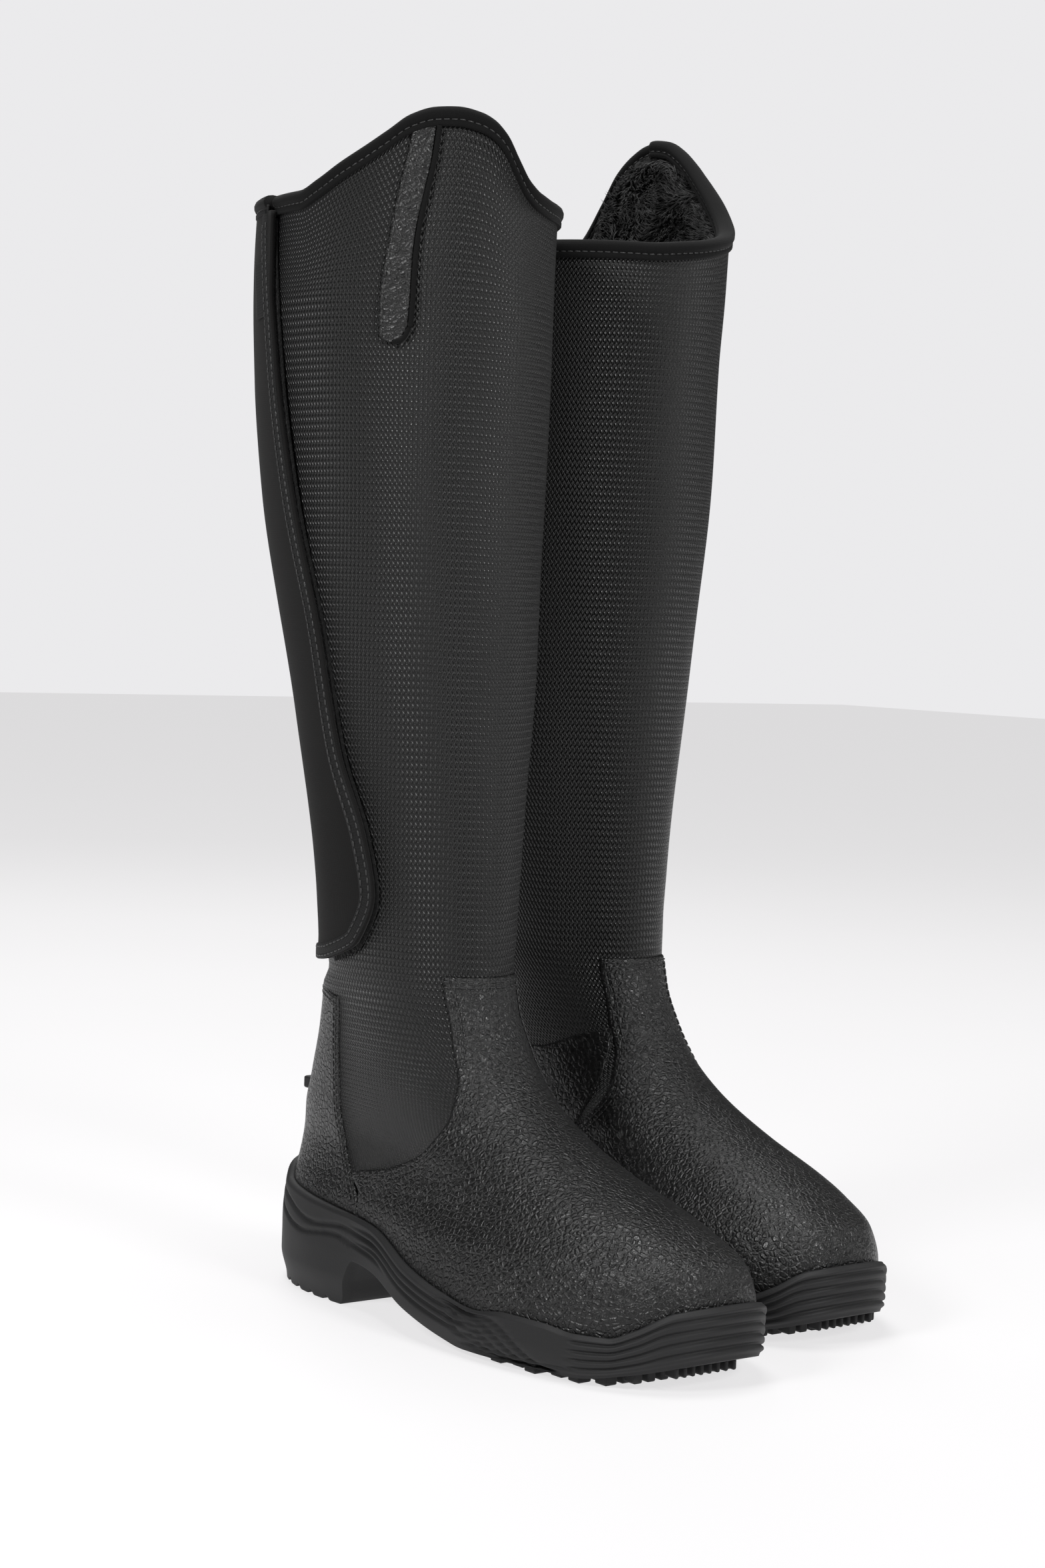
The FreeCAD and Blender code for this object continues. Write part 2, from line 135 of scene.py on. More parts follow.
FLAP_LOW = 149.0
VAMP_HIGH = 151.0
LEVEL_ROWS_END = 446.0      # above this the rows of the shaft fan out to its arched rim


class Boot:
    """One boot's surface. tau runs 0 at the toe, pi/2 outside, pi at the back, -pi/2 inside."""

    def __init__(self, side):
        self.side = side
        self.sign = -1.0 if side == "right" else 1.0
        self.setback = 0.0 if side == "right" else LEFT_SETBACK
        self.shell = side + "_boot"
        self.flap = side + "_flap"

    def place(self, x, outward, height):
        toe = np.clip((x - 144) / 134, 0, 1) ** 2 * TOE_SWING
        lean = smoothstep(height, 130, 500) * SHAFT_LEAN
        waist = 6 * np.exp(-((x - 115) / 38) ** 2) * (1 - smoothstep(height, 20, 86))
        outward = outward + np.where(outward < 0, waist, 0)
        arch = np.exp(-((x - 92) / 34) ** 2) * (1 - smoothstep(height, 24, 62))
        outward = outward * (1 - 0.16 * arch) + lean - toe
        ahead = x - SHAFT_MIDDLE
        if self.side == "left":
            ahead, outward = (ahead * math.cos(LEFT_TURN_OUT) - outward * math.sin(LEFT_TURN_OUT),
                              outward * math.cos(LEFT_TURN_OUT) + ahead * math.sin(LEFT_TURN_OUT))
        return np.stack(np.broadcast_arrays(
            (ahead + SHAFT_MIDDLE - HEEL_TO_ORIGIN - self.setback) * MM,
            self.sign * (BOOT_SPACING / 2 + outward) * MM, height * MM), -1)

    def section(self, tau, z, inset):
        """x and outward distance of the outline at height z, before the boot's own lean."""
        def slant(curve):
            return np.hypot(1, (curve(z + 1.5) - curve(z - 1.5)) / 3)

        front = FRONT(z) - inset * slant(FRONT)
        back = BACK(z) + inset * slant(BACK)
        half = HALF_WIDTH(z) - inset
        widest = np.minimum(WIDEST_AT(z), front - 18)
        c, s = np.cos(tau), np.sin(tau)
        power = 2 / np.where(c > 0, ROUNDNESS(z), BACK_ROUNDNESS(z))
        reach = np.where(c > 0, front - widest, widest - back)
        return (widest + np.sign(c) * np.abs(c) ** power * reach,
                np.sign(s) * np.abs(s) ** power * half)

    def skin(self, tau, z, inset=0.0, level=None):
        tau, z, inset = np.broadcast_arrays(np.asarray(tau, float), np.asarray(z, float),
                                            np.asarray(inset, float))
        x, outward = self.section(tau, z, inset)
        return self.place(x, outward, z if level is None else level)

    def tau_at(self, x, z):
        """The outer-side tau where the outline at height z passes x."""
        front, back = FRONT(z), BACK(z)
        widest = np.minimum(WIDEST_AT(z), front - 18)
        ahead = x > widest
        power = 2 / np.where(ahead, ROUNDNESS(z), BACK_ROUNDNESS(z))
        reach = np.where(ahead, front - widest, widest - back)
        share = np.clip(np.abs(x - widest) / reach, 0, 1) ** (1 / power)
        return np.arccos(np.where(ahead, share, -share))

    def rim(self, tau):
        """The height of the top edge at tau."""
        x, outward = self.section(tau, np.full(np.shape(tau), 490.0), np.zeros(np.shape(tau)))
        angle = np.degrees(np.arctan2(x - SHAFT_MIDDLE, outward))
        return RIM_HEIGHT + RIM_ARCH[self.side](angle)


# ------------------------------------------------------------------ mesh helpers
def new_object(name, points, faces, uvs=None):
    mesh = bpy.data.meshes.new(name)
    mesh.from_pydata([tuple(p) for p in np.asarray(points).reshape(-1, 3)], [], faces)
    if uvs is not None:
        layer = mesh.uv_layers.new(name="UVMap")
        flat = np.asarray(uvs).reshape(-1, 2)
        loops = np.zeros(len(mesh.loops), np.int32)
        mesh.loops.foreach_get("vertex_index", loops)
        layer.data.foreach_set("uv", flat[loops].astype(np.float32).ravel())
    mesh.polygons.foreach_set("use_smooth", [True] * len(mesh.polygons))
    mesh.update()
    made = bpy.data.objects.new(name, mesh)
    bpy.context.scene.collection.objects.link(made)
    return made


def grid_faces(rows, columns, wrap=False, flip=False, offset=0):
    last = columns if wrap else columns - 1
    faces = []
    for i in range(rows - 1):
        for j in range(last):
            k = (j + 1) % columns
            quad = (i * columns + j, i * columns + k, (i + 1) * columns + k, (i + 1) * columns + j)
            faces.append(tuple(offset + v for v in (quad[::-1] if flip else quad)))
    return faces


def spread(points):
    """UVs in metres for a grid: the distance along its rows from the middle, and up them."""
    across = np.linalg.norm(np.diff(points, axis=1), axis=2)
    u = np.concatenate([np.zeros((len(points), 1)), np.cumsum(across, 1)], 1)
    u -= u[:, u.shape[1] // 2][:, None]
    upward = np.linalg.norm(np.diff(points, axis=0), axis=2)
    middle = upward[:, upward.shape[1] // 2]
    v = np.concatenate([[0], np.cumsum(middle)])[:, None] + 0 * u
    return np.stack([u, v], -1)


def apply_modifier(made, kind, **settings):
    bpy.ops.object.select_all(action="DESELECT")
    made.select_set(True)
    bpy.context.view_layer.objects.active = made
    modifier = made.modifiers.new(kind.title(), kind)
    for word, value in settings.items():
        setattr(modifier, word, value)
    bpy.ops.object.modifier_apply(modifier=modifier.name)


def sheet_mesh(name, points, thick, inside_point):
    """A sheet through a grid of points, thickened away from the side that faces outwards."""
    middle = points[len(points) // 2, points.shape[1] // 2]
    right = points[len(points) // 2, points.shape[1] // 2 + 1] - middle
    up = points[len(points) // 2 + 1, points.shape[1] // 2] - middle
    flip = np.dot(np.cross(right, up), middle - np.asarray(inside_point)) < 0
    made = new_object(name, points, grid_faces(*points.shape[:2], flip=flip), spread(points))
    apply_modifier(made, "SOLIDIFY", thickness=thick * MM, offset=-1.0)
    return made


def dress(made, key, nodes):
    made.data.materials.clear()
    made.data.materials.append(FINISH[key])
    if nodes:
        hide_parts(*nodes)


def shell_piece(boot, made, slot, key, *parts):
    """Gives a piece of the shell its finish; parts are the CAD nodes that it stands in for."""
    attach(made, boot.shell)
    dress(made, key, [boot.side + "_" + part for part in parts])


def flap_piece(boot, made, slot, key, *parts):
    """Gives a piece of the flap its finish and hides the CAD nodes it stands in for; the piece is left
    unparented, with its placement baked into its mesh.
    """
    dress(made, key, [boot.side + "_" + part for part in parts])
    made.parent = None
    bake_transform(made)


def unit(vectors):
    """Vectors brought to length one."""
    return vectors / np.linalg.norm(vectors, axis=-1)[..., None]


def running_length(points):
    """The distance travelled along a row of points, up to each of them."""
    return np.concatenate([[0], np.cumsum(np.linalg.norm(np.diff(points, axis=0), axis=1))])


def facing(vectors, reference):
    """Vectors turned over wherever they point against their reference."""
    return vectors * np.sign((vectors * reference).sum(-1))[..., None]


def edge_drop(distance, roll=1.5, deep=1.0):
    """How far a leather edge falls away towards the cloth, by its distance from the edge."""
    u = np.clip(1 - distance / roll, 0, 1)
    return deep * (1 - np.sqrt(np.clip(1 - u * u, 0, 1)))


def fringe(count, edge):
    """Values from 0 to 1 with a few close steps at each end, edge being their share."""
    close = np.array([0, 0.15, 0.4, 0.75]) * edge
    inside = np.linspace(edge, 1 - edge, count)
    return np.concatenate([close, inside, 1 - close[::-1]])


# ------------------------------------------------------------------ shader nodes
class Link:
    """A shader value that is written with ordinary arithmetic."""

    def __init__(self, shader, socket):
        self.shader, self.socket = shader, socket

    def maths(self, operation, other=None):
        return self.shader.node("ShaderNodeMath", {"operation": operation}, [self, other])

    def __add__(self, other): return self.maths("ADD", other)
    def __radd__(self, other): return self.maths("ADD", other)
    def __sub__(self, other): return self.maths("SUBTRACT", other)
    def __rsub__(self, other): return (self * -1.0) + other
    def __mul__(self, other): return self.maths("MULTIPLY", other)
    def __rmul__(self, other): return self.maths("MULTIPLY", other)
    def __truediv__(self, other): return self.maths("DIVIDE", other)
    def __pow__(self, other): return self.maths("POWER", other)


class Shader:
    """A material whose nodes are made one call at a time."""

    def __init__(self, name, roughness, sheen=0.0, sheen_roughness=0.5, coat=0.0, specular=0.5):
        self.material = bpy.data.materials.new(name)
        self.material.use_nodes = True
        self.nodes = self.material.node_tree.nodes
        self.links = self.material.node_tree.links
        self.surface = self.nodes["Principled BSDF"]
        self.surface.inputs["Roughness"].default_value = roughness
        self.surface.inputs["Sheen Weight"].default_value = sheen
        self.surface.inputs["Sheen Roughness"].default_value = sheen_roughness
        self.surface.inputs["Coat Weight"].default_value = coat
        self.surface.inputs["Specular IOR Level"].default_value = specular
        self.place = self.node("ShaderNodeTexCoord", {}, [], "Object")
        self.uv = self.node("ShaderNodeTexCoord", {}, [], "UV")

    def node(self, kind, settings, values, output=0):
        """Adds a node, sets its settings, then fills its inputs by order or by name."""
        made = self.nodes.new(kind)
        for word, value in settings.items():
            if word == "stops":
                ramp = made.color_ramp
                for element, (position, colour) in zip(ramp.elements, value):
                    element.position, element.color = position, colour
            else:
                setattr(made, word, value)
        pairs = values.items() if isinstance(values, dict) else enumerate(values)
        for key, value in pairs:
            if isinstance(value, Link):
                self.links.new(value.socket, made.inputs[key])
            elif value is not None:
                made.inputs[key].default_value = value
        return Link(self, made.outputs[output])

    def noise(self, scale, detail=3.0, vector=None):
        return self.node("ShaderNodeTexNoise", {}, {
            "Vector": vector or self.place, "Scale": scale, "Detail": detail})

    def cells(self, scale, feature="DISTANCE_TO_EDGE", vector=None):
        return self.node("ShaderNodeTexVoronoi", {"feature": feature}, {
            "Vector": vector or self.place, "Scale": scale}, "Distance")

    def across_and_along(self):
        return [self.node("ShaderNodeSeparateXYZ", {}, [self.uv], axis) for axis in "XY"]

    def clamp_between(self, value, low, high):
        return self.node("ShaderNodeMapRange", {"interpolation_type": "SMOOTHSTEP"},
                         {"Value": value, "From Min": low, "From Max": high})

    def mix(self, factor, first, second):
        return self.node("ShaderNodeMix", {"data_type": "RGBA"},
                         {0: factor, 6: first, 7: second}, 2)

    def colour(self, value):
        self.links.new(value.socket, self.surface.inputs["Base Color"])

    def roughness(self, value):
        self.links.new(value.socket, self.surface.inputs["Roughness"])

    def bump(self, height, strength, distance):
        made = self.node("ShaderNodeBump", {}, {"Height": height, "Strength": strength,
                                                "Distance": distance}, "Normal")
        self.links.new(made.socket, self.surface.inputs["Normal"])


def grey(level, tint=(1.0, 1.0, 1.0)):
    return tuple(level * t for t in tint) + (1.0,)


def pebbled_leather():
    """Black full-grain leather with a pebble of about 2.5 mm, its creases duller than its tops and
    painted darker: a painted shade in the creases.
    """
    s = Shader("pebbled_leather", 0.42, specular=0.5)
    wander = s.noise(160, 2.0)
    bent = s.node("ShaderNodeVectorMath", {"operation": "ADD"}, [
        s.place, s.node("ShaderNodeVectorMath", {"operation": "SCALE"},
                        {0: s.node("ShaderNodeTexNoise", {}, {"Vector": s.place, "Scale": 170.0},
                                   "Color"), "Scale": 0.0016})])
    crease = s.clamp_between(s.cells(390, vector=bent), 0.0, 0.26)
    small = s.clamp_between(s.cells(1000, vector=bent), 0.0, 0.25)
    height = crease * 0.8 + small * 0.18 + s.noise(90, 2.0) * 0.3
    s.bump(height, 0.6, 0.0006)
    # painted shade: the base colour is darker in the creases of the pebble and lighter on its tops,
    # with some random tone from wander
    s.colour(s.mix(crease * (0.6 + 0.4 * wander), grey(0.002), grey(0.0075)))
    s.roughness(0.42 - crease * 0.14 + wander * 0.05)
    return s.material


def embossed_cloth():
    """Coated cloth embossed with a small diamond basket weave, its raised threads glossier and painted
    lighter: a painted highlight on each thread and painted shade between them.
    """
    s = Shader("embossed_cloth", 0.45, sheen=0.0, specular=0.4)
    u, v = s.across_and_along()
    cell = 0.0021
    p = (u + v * 0.65) / cell
    q = (u - v * 0.65) / cell
    parity = (p.maths("FLOOR") + q.maths("FLOOR")).maths("FLOORED_MODULO", 2.0)
    fp, fq = p.maths("FRACT"), q.maths("FRACT")
    dome_p, dome_q = 4.0 * fp * (1.0 - fp), 4.0 * fq * (1.0 - fq)
    over = dome_p * (dome_q ** 0.35)
    under = dome_q * (dome_p ** 0.35)
    thread = over * parity + under * (1.0 - parity)
    strand = ((fp * parity + fq * (1.0 - parity)) * 12.566).maths("SINE") * 0.12
    s.bump(thread + strand + s.noise(900, 2.0) * 0.12, 0.8, 0.0006)
    # painted highlight and shade: the colour follows the thread height, light on the raised threads
    # and dark between them
    s.colour(s.mix(thread, grey(0.0015), grey(0.008)))
    s.roughness(0.56 - thread * 0.3)
    return s.material


def knit_neoprene(name, level, tint):
    """Neoprene with a fine knitted face, matte with a soft sheen."""
    s = Shader(name, 0.85, sheen=0.04, sheen_roughness=0.5, specular=0.15)
    u, v = s.across_and_along()
    ribs = ((u * 9000.0).maths("SINE") * 0.5 + 0.5) * ((v * 7000.0).maths("SINE") * 0.4 + 0.6)
    fuzz = s.noise(2200, 3.0)
    s.bump(ribs * 0.5 + fuzz * 0.7, 0.35, 0.0003)
    mottle = fuzz * 0.7 + s.noise(60, 3.0) * 0.3
    s.colour(s.mix(mottle, grey(level * 0.55, tint), grey(level * 1.3, tint)))
    return s.material


def moulded_rubber():
    """Near-black outsole rubber, matte and faintly mottled, smoother in patches."""
    s = Shader("sole_rubber", 0.62, specular=0.35)
    fine = s.noise(1500, 3.0)
    cloudy = s.noise(35, 3.0)
    s.bump(fine, 0.25, 0.0003)
    s.colour(s.mix(cloudy * 0.6 + fine * 0.3, grey(0.007, (1, 1, 1.03)), grey(0.02, (1, 1, 1.04))))
    s.roughness(0.52 + cloudy * 0.2)
    return s.material


def pile_ground():
    """The knitted ground of the pile lining, with painted shade between its curls."""
    s = Shader("pile", 0.95, sheen=0.08, specular=0.1)
    curl = s.noise(420, 4.0)
    s.bump(curl + s.cells(500, "F1") * 0.5, 1.0, 0.002)
    # painted shade: the colour follows the curl height, dark in the hollows between the curls
    s.colour(s.mix(curl, grey(0.002), grey(0.016)))
    return s.material


def pile_hair():
    """The pile's fibres, charcoal in some clumps and almost black in others."""
    s = Shader("pile_hair", 0.7, sheen=0.08, specular=0.25)
    clump = s.noise(130, 3.0)
    s.colour(s.mix(s.clamp_between(clump, 0.35, 0.65), grey(0.006), grey(0.05)))
    s.bump(s.noise(1800, 2.0), 0.3, 0.0003)
    return s.material


def woven_tape():
    s = Shader("edge_tape", 0.7, sheen=0.04, specular=0.2)
    u, v = s.across_and_along()
    weave = ((u * 7500.0).maths("SINE") * 0.5 + 0.5) * ((v * 5200.0).maths("SINE") * 0.5 + 0.5)
    s.bump(weave + s.noise(1500, 2.0) * 0.4, 0.4, 0.0003)
    # painted highlight: half the colour is the weave height, lighter on the raised crossings, and half
    # is random tone
    s.colour(s.mix(weave * 0.5 + s.noise(300, 2.0) * 0.5, grey(0.004), grey(0.016)))
    return s.material


def thread_finish():
    s = Shader("sewing_thread", 0.42, specular=0.6)
    twist = s.noise(3500, 1.0)
    s.bump(twist, 0.4, 0.0002)
    s.colour(s.mix(twist, grey(0.006), grey(0.03)))
    return s.material


def fibre_board():
    s = Shader("fibre_board", 0.85)
    flecks = s.noise(700, 4.0)
    s.bump(flecks, 0.4, 0.0004)
    s.colour(s.mix(flecks, (0.16, 0.11, 0.07, 1), (0.36, 0.27, 0.18, 1)))
    return s.material


def spring_steel():
    s = Shader("spring_steel", 0.35)
    s.surface.inputs["Metallic"].default_value = 1.0
    brushed = s.noise(900, 2.0)
    s.colour(s.mix(brushed, grey(0.38), grey(0.6)))
    s.roughness(0.3 + brushed * 0.2)
    return s.material


FINISH = {
    "leather": pebbled_leather(),
    "cloth": embossed_cloth(),
    "binding": knit_neoprene("binding_neoprene", 0.004, (1.0, 0.99, 1.0)),
    "flap": knit_neoprene("flap_neoprene", 0.009, (1.0, 0.96, 0.94)),
    "rubber": moulded_rubber(),
    "pile": pile_ground(),
    "hair": pile_hair(),
    "tape": woven_tape(),
    "thread": thread_finish(),
    "board": fibre_board(),
    "steel": spring_steel(),
}


# ------------------------------------------------------------------ shaft
def wave(tau, z):
    """The slight slackness of the soft shaft wall, as an inset: a pinch below the flap at the
    back, a puff under it and faint long ripples higher up."""
    behind = np.clip(-np.cos(tau), 0, 1)
    pinch = (2.2 * np.exp(-((z - 147) / 5) ** 2) - 1.6 * np.exp(-((z - 136) / 8) ** 2)) * behind
    tucks = 0.35 * np.sin(z / 5.5 + 1.5 * tau) * np.exp(-((z - 150) / 24) ** 2)
    drape = (0.45 * np.sin(z / 37.0 + 2 * tau) + 0.3 * np.sin(z / 19.0 - 3 * tau)
             ) * smoothstep(z, 150, 230) * (1 - smoothstep(z, 430, 470))
    return pinch + tucks * smoothstep(z, 100, 120) + drape


def shaft_columns(boot, z_rows, count):
    """Tau over the shaft wall: columns squeezed beside the flap's opening, even elsewhere."""
    hold = 1.15
    start = boot.tau_at(FLAP_EDGE(z_rows - 6) - FLAP_OVERLAP, z_rows)
    near = np.linspace(0, 1, count // 3)[:-1]
    squeezed = start[:, None] + (hold - start[:, None]) * near[None]
    even = np.linspace(hold, -math.pi, count - len(near))
    return np.concatenate([squeezed, np.broadcast_to(even, (len(z_rows), len(even)))], 1)


def shaft_rows(low, top_share=20):
    """Heights up the shaft, close together where the flap's opening begins, and rim shares."""
    z = np.concatenate([np.arange(low, 152, 3.0), np.arange(152.5, 162, 0.6),
                        np.arange(163, 446, 3.2)])
    share = np.linspace(0, 1, top_share)[1:]
    return (np.concatenate([z, np.full(len(share), LEVEL_ROWS_END)]),
            np.concatenate([np.zeros(len(z)), share]))


def shaft_cloth(boot):
    z_rows, shares = shaft_rows(56.0)
    tau = shaft_columns(boot, z_rows, 156)
    top = boot.rim(tau) - 2.5
    z = z_rows[:, None] + (top - LEVEL_ROWS_END) * shares[:, None]
    points = boot.skin(tau, z, 0.25 + wave(tau, z))
    made = sheet_mesh(boot.side + "_shaft_cloth", points, 1.3, boot.skin(0.1, 300, 50))
    shell_piece(boot, made, "embossed_cloth", "cloth", "shaft_cloth")


def leather_panel(boot, name, tau, z, proud=0.9):
    """A leather piece over a grid of tau and z, its edges rolled down to the cloth."""
    flat = boot.skin(tau, z, -proud)
    rows, columns = tau.shape
    across = np.concatenate([np.zeros((rows, 1)),
                             np.cumsum(np.linalg.norm(np.diff(flat, axis=1), axis=2), 1)], 1) / MM
    along = np.concatenate([np.zeros((1, columns)),
                            np.cumsum(np.linalg.norm(np.diff(flat, axis=0), axis=2), 0)], 0) / MM
    distance = np.minimum(np.minimum(across, across[:, -1:] - across), along[-1:] - along)
    points = boot.skin(tau, z, -proud + edge_drop(distance))
    made = sheet_mesh(boot.side + "_" + name, points, 1.3, boot.skin(0.1, 60, 30))
    shell_piece(boot, made, "pebbled_leather", "leather", name)


def even_heights(curve, low, high, count):
    """Heights spaced evenly along a profile curve."""
    z = np.linspace(low, high, 600)
    length = np.concatenate([[0], np.cumsum(np.hypot(np.diff(z), np.diff(curve(z))))])
    return np.interp(np.linspace(0, length[-1], count), length, z)


def tucked(x, z, low):
    """Heights raised near the sole so that a panel's lower edge sits just inside the wall."""
    return z + (WALL_TOP(x) - 7 - low) * np.clip(1 - (z - low) / 34, 0, 1)


def vamp(boot):
    z_rows = np.append(even_heights(FRONT, 26, VAMP_HIGH - 1.6, 84),
                       VAMP_HIGH - np.array([1.0, 0.5, 0.0]))
    edge = boot.tau_at(VAMP_EDGE(z_rows), z_rows)
    columns = fringe(74, 0.02)
    tau = edge[:, None] * (1 - 2 * columns[None])
    z = np.broadcast_to(z_rows[:, None], tau.shape)
    x = boot.section(tau, z, 0 * z)[0]
    z = tucked(x, z, 26)
    limit = boot.tau_at(VAMP_EDGE(z), z)
    tau = np.sign(tau) * np.minimum(np.abs(tau), limit)
    leather_panel(boot, "vamp", tau, z)


def heel_counter(boot):
    share = np.append(np.linspace(0, 0.985, 44), [0.992, 0.997, 1.0])
    columns = fringe(66, 0.02)
    low = 36.0
    rows = low + (138 - low) * share
    edge = boot.tau_at(COUNTER_EDGE(rows), rows)
    tau = edge[:, None] + (2 * math.pi - 2 * edge[:, None]) * columns[None]
    z = np.broadcast_to(rows[:, None], tau.shape)
    x = boot.section(tau, z, 0 * z)[0]
    z = z + (COUNTER_TOP(x) - 138) * share[:, None]
    leather_panel(boot, "heel_counter", tau, z, proud=0.7)


def ankle_guard(boot):
    share = np.append(np.linspace(0, 0.97, 30), [0.985, 0.995, 1.0])
    columns = fringe(34, 0.02)
    rows = 59.5 + (110 - 59.5) * share
    front = boot.tau_at(VAMP_EDGE(rows) + 4, rows)
    back = boot.tau_at(COUNTER_EDGE(rows) - 3, rows)
    tau = -(front[:, None] + (back - front)[:, None] * columns[None])
    z = np.broadcast_to(rows[:, None], tau.shape)
    x = boot.section(tau, z, 0 * z)[0]
    z = z + (GUARD_TOP(x) - 110) * share[:, None]
    leather_panel(boot, "ankle_guard", tau, z, proud=0.35)


def swept(name, path, outward, section):
    """A closed section swept along a path and capped; section is (outward, upward) pairs in mm."""
    up = np.array([0, 0, 1.0])
    ring = np.array(section, float) * MM
    points = (path[:, None] + ring[None, :, 0, None] * outward[:, None]
              + ring[None, :, 1, None] * up)
    rows, columns = points.shape[:2]
    uv = np.zeros((rows, columns, 2))
    uv[..., 0] = running_length(path)[:, None]
    uv[..., 1] = running_length(ring)[None]
    faces = grid_faces(rows, columns, wrap=True)
    faces.append(tuple(range(columns))[::-1])
    faces.append(tuple((rows - 1) * columns + j for j in range(columns)))
    made = new_object(name, points, faces, uv)
    tidy_normals(made)
    return made


def tidy_normals(made):
    bpy.ops.object.select_all(action="DESELECT")
    made.select_set(True)
    bpy.context.view_layer.objects.active = made
    bpy.ops.object.mode_set(mode="EDIT")
    bpy.ops.mesh.select_all(action="SELECT")
    bpy.ops.mesh.normals_make_consistent(inside=False)
    bpy.ops.object.mode_set(mode="OBJECT")


# the rolled top binding in section, as (outwards, upwards) from the rim: a lip with its seam,
# the roll over the edge, and the same seam and lip inside
BINDING_SECTION = [(0.0, -4.4), (1.1, -4.5), (1.7, -3.9), (1.75, -2.6), (1.2, -1.75), (1.1, -1.4),
                   (1.9, -1.0), (2.5, 0.2), (2.6, 1.6), (2.0, 3.0), (0.8, 3.9), (-1.2, 4.2),
                   (-3.4, 4.0), (-5.2, 3.1), (-6.2, 1.6), (-6.3, 0.1), (-5.9, -1.1),
                   (-5.3, -1.4), (-5.4, -1.8), (-6.2, -2.6), (-6.2, -3.8), (-5.4, -4.5),
                   (-2.4, -4.6)]


def rim_path(boot, tau, inset):
    z = boot.rim(tau)
    path = boot.skin(tau, z, inset)
    ahead = boot.skin(tau + 0.01, z, inset) - boot.skin(tau - 0.01, z, inset)
    outward = unit(np.stack([-ahead[:, 1], ahead[:, 0], 0 * z], -1))
    return path, facing(outward, path - boot.skin(tau, z, inset + 5))


def top_binding(boot):
    start = boot.tau_at(FLAP_EDGE(500) - 2.0, 500)
    tau = np.linspace(start, -math.pi, 170)
    path, outward = rim_path(boot, tau, 0.3)
    made = swept(boot.side + "_top_binding", path, outward, BINDING_SECTION)
    shell_piece(boot, made, "binding_neoprene", "binding", "top_binding")


# ------------------------------------------------------------------ calf flap
def flap_lift(share):
    """How far the flap stands off the shaft: over the strips at its edge, flush at its seam."""
    return 0.5 + 2.3 * (1 - smoothstep(share, 0.25, 0.9))


def flap_grid(boot, rows, columns, edge_in=0.0, low=FLAP_LOW + 0.6):
    """Tau, height and share of the way to the back seam over the flap."""
    z_low = even_heights(FLAP_EDGE, low, LEVEL_ROWS_END, rows)
    share_up = np.concatenate([np.zeros(rows), np.linspace(0, 1, 16)[1:]])
    z_rows = np.concatenate([z_low, np.full(15, LEVEL_ROWS_END)])
    start = boot.tau_at(FLAP_EDGE(z_rows) - edge_in, z_rows)
    tau = start[:, None] + (math.pi - start[:, None]) * columns[None]
    z = z_rows[:, None] + (boot.rim(tau) - 3 - LEVEL_ROWS_END) * share_up[:, None]
    return tau, z, np.broadcast_to(columns[None], tau.shape)


def calf_flap(boot):
    tau, z, share = flap_grid(boot, 110, fringe(40, 0.02))
    lift = flap_lift(share) + 1.6
    points = boot.skin(tau, z, -lift + wave(tau, z) * 0.6)
    made = sheet_mesh(boot.side + "_calf_flap", points, 2.2, boot.skin(0.1, 300, 50))
    flap_piece(boot, made, "flap_neoprene", "flap", "calf_flap")


def edge_path(boot, low, high, count, back_off, lift):
    """A path beside the flap's free edge, back_off mm in from it, with its outward normals
    and the directions over the wall away from the edge."""
    z = even_heights(FLAP_EDGE, low, high, count)
    tau = boot.tau_at(FLAP_EDGE(z), z)
    path, normal = along_surface(boot, tau, z, lift)
    inward = np.cross(normal, unit(np.gradient(path, axis=0)))
    inward *= np.sign((inward * (boot.skin(tau + 0.01, z, -lift) - path)).sum(1).mean())
    return path + inward * back_off * MM, normal, inward


def flap_tape(boot):
    across = np.array([0, 0.25, 0.8, 3.4, 6.0, 6.75, 7.0])
    rise = np.array([0.0, 0.5, 0.75, 0.8, 0.75, 0.5, 0.0])
    path, normal, inward = edge_path(boot, FLAP_LOW + 0.4, 486, 260, 0.2, 4.3)
    points = (path[:, None] + inward[:, None] * across[None, :, None] * MM
              + normal[:, None] * (rise[None, :, None] - 0.25) * MM)
    made = sheet_mesh(boot.side + "_flap_tape", points, 0.7, boot.skin(0.1, 300, 50))
    flap_piece(boot, made, "edge_tape", "tape", "flap_tape")


def flap_binding(boot):
    start = boot.tau_at(FLAP_EDGE(500) - 1.0, 500)
    tau = np.linspace(start, math.pi, 70)
    share = np.linspace(0, 1, 70)
    path, outward = rim_path(boot, tau, 0.0)
    path = path + outward * ((flap_lift(share) + 0.6) * MM)[:, None]
    made = swept(boot.side + "_flap_binding", path, outward, BINDING_SECTION)
    flap_piece(boot, made, "binding_neoprene", "binding", "flap_binding")


def strip_along_edge(boot, name, begin, end, lift, thick):
    path, normal, inward = edge_path(boot, FLAP_LOW + 4, 480, 160, 0.0, lift)
    across = np.linspace(begin, end, 9)
    points = path[:, None] + inward[:, None] * across[None, :, None] * MM
    return sheet_mesh(boot.side + "_" + name, points, thick, boot.skin(0.1, 300, 50))


def closure_strips(boot):
    loop = strip_along_edge(boot, "loop_strip", -1.3, FLAP_OVERLAP - 1, 1.15, 0.7)
    shell_piece(boot, loop, "loop_pile", "pile", "loop_strip")
    hook = strip_along_edge(boot, "hook_strip", 0.8, FLAP_OVERLAP - 2, 1.9, 0.7)
    flap_piece(boot, hook, "loop_pile", "pile", "hook_strip")


def label(boot):
    path, normal, inward = edge_path(boot, 438, 462, 24, 5.4, 4.3)
    across = np.linspace(0, 9.5, 10)
    curl = 0.45 + 0.15 * np.sin(across / 9.5 * math.pi)
    points = (path[:, None] + inward[:, None] * across[None, :, None] * MM
              + normal[:, None] * curl[None, :, None] * MM)
    made = sheet_mesh(boot.side + "_label", points, 0.5, boot.skin(0.1, 300, 50))
    flap_piece(boot, made, "woven_label", "tape", "label")


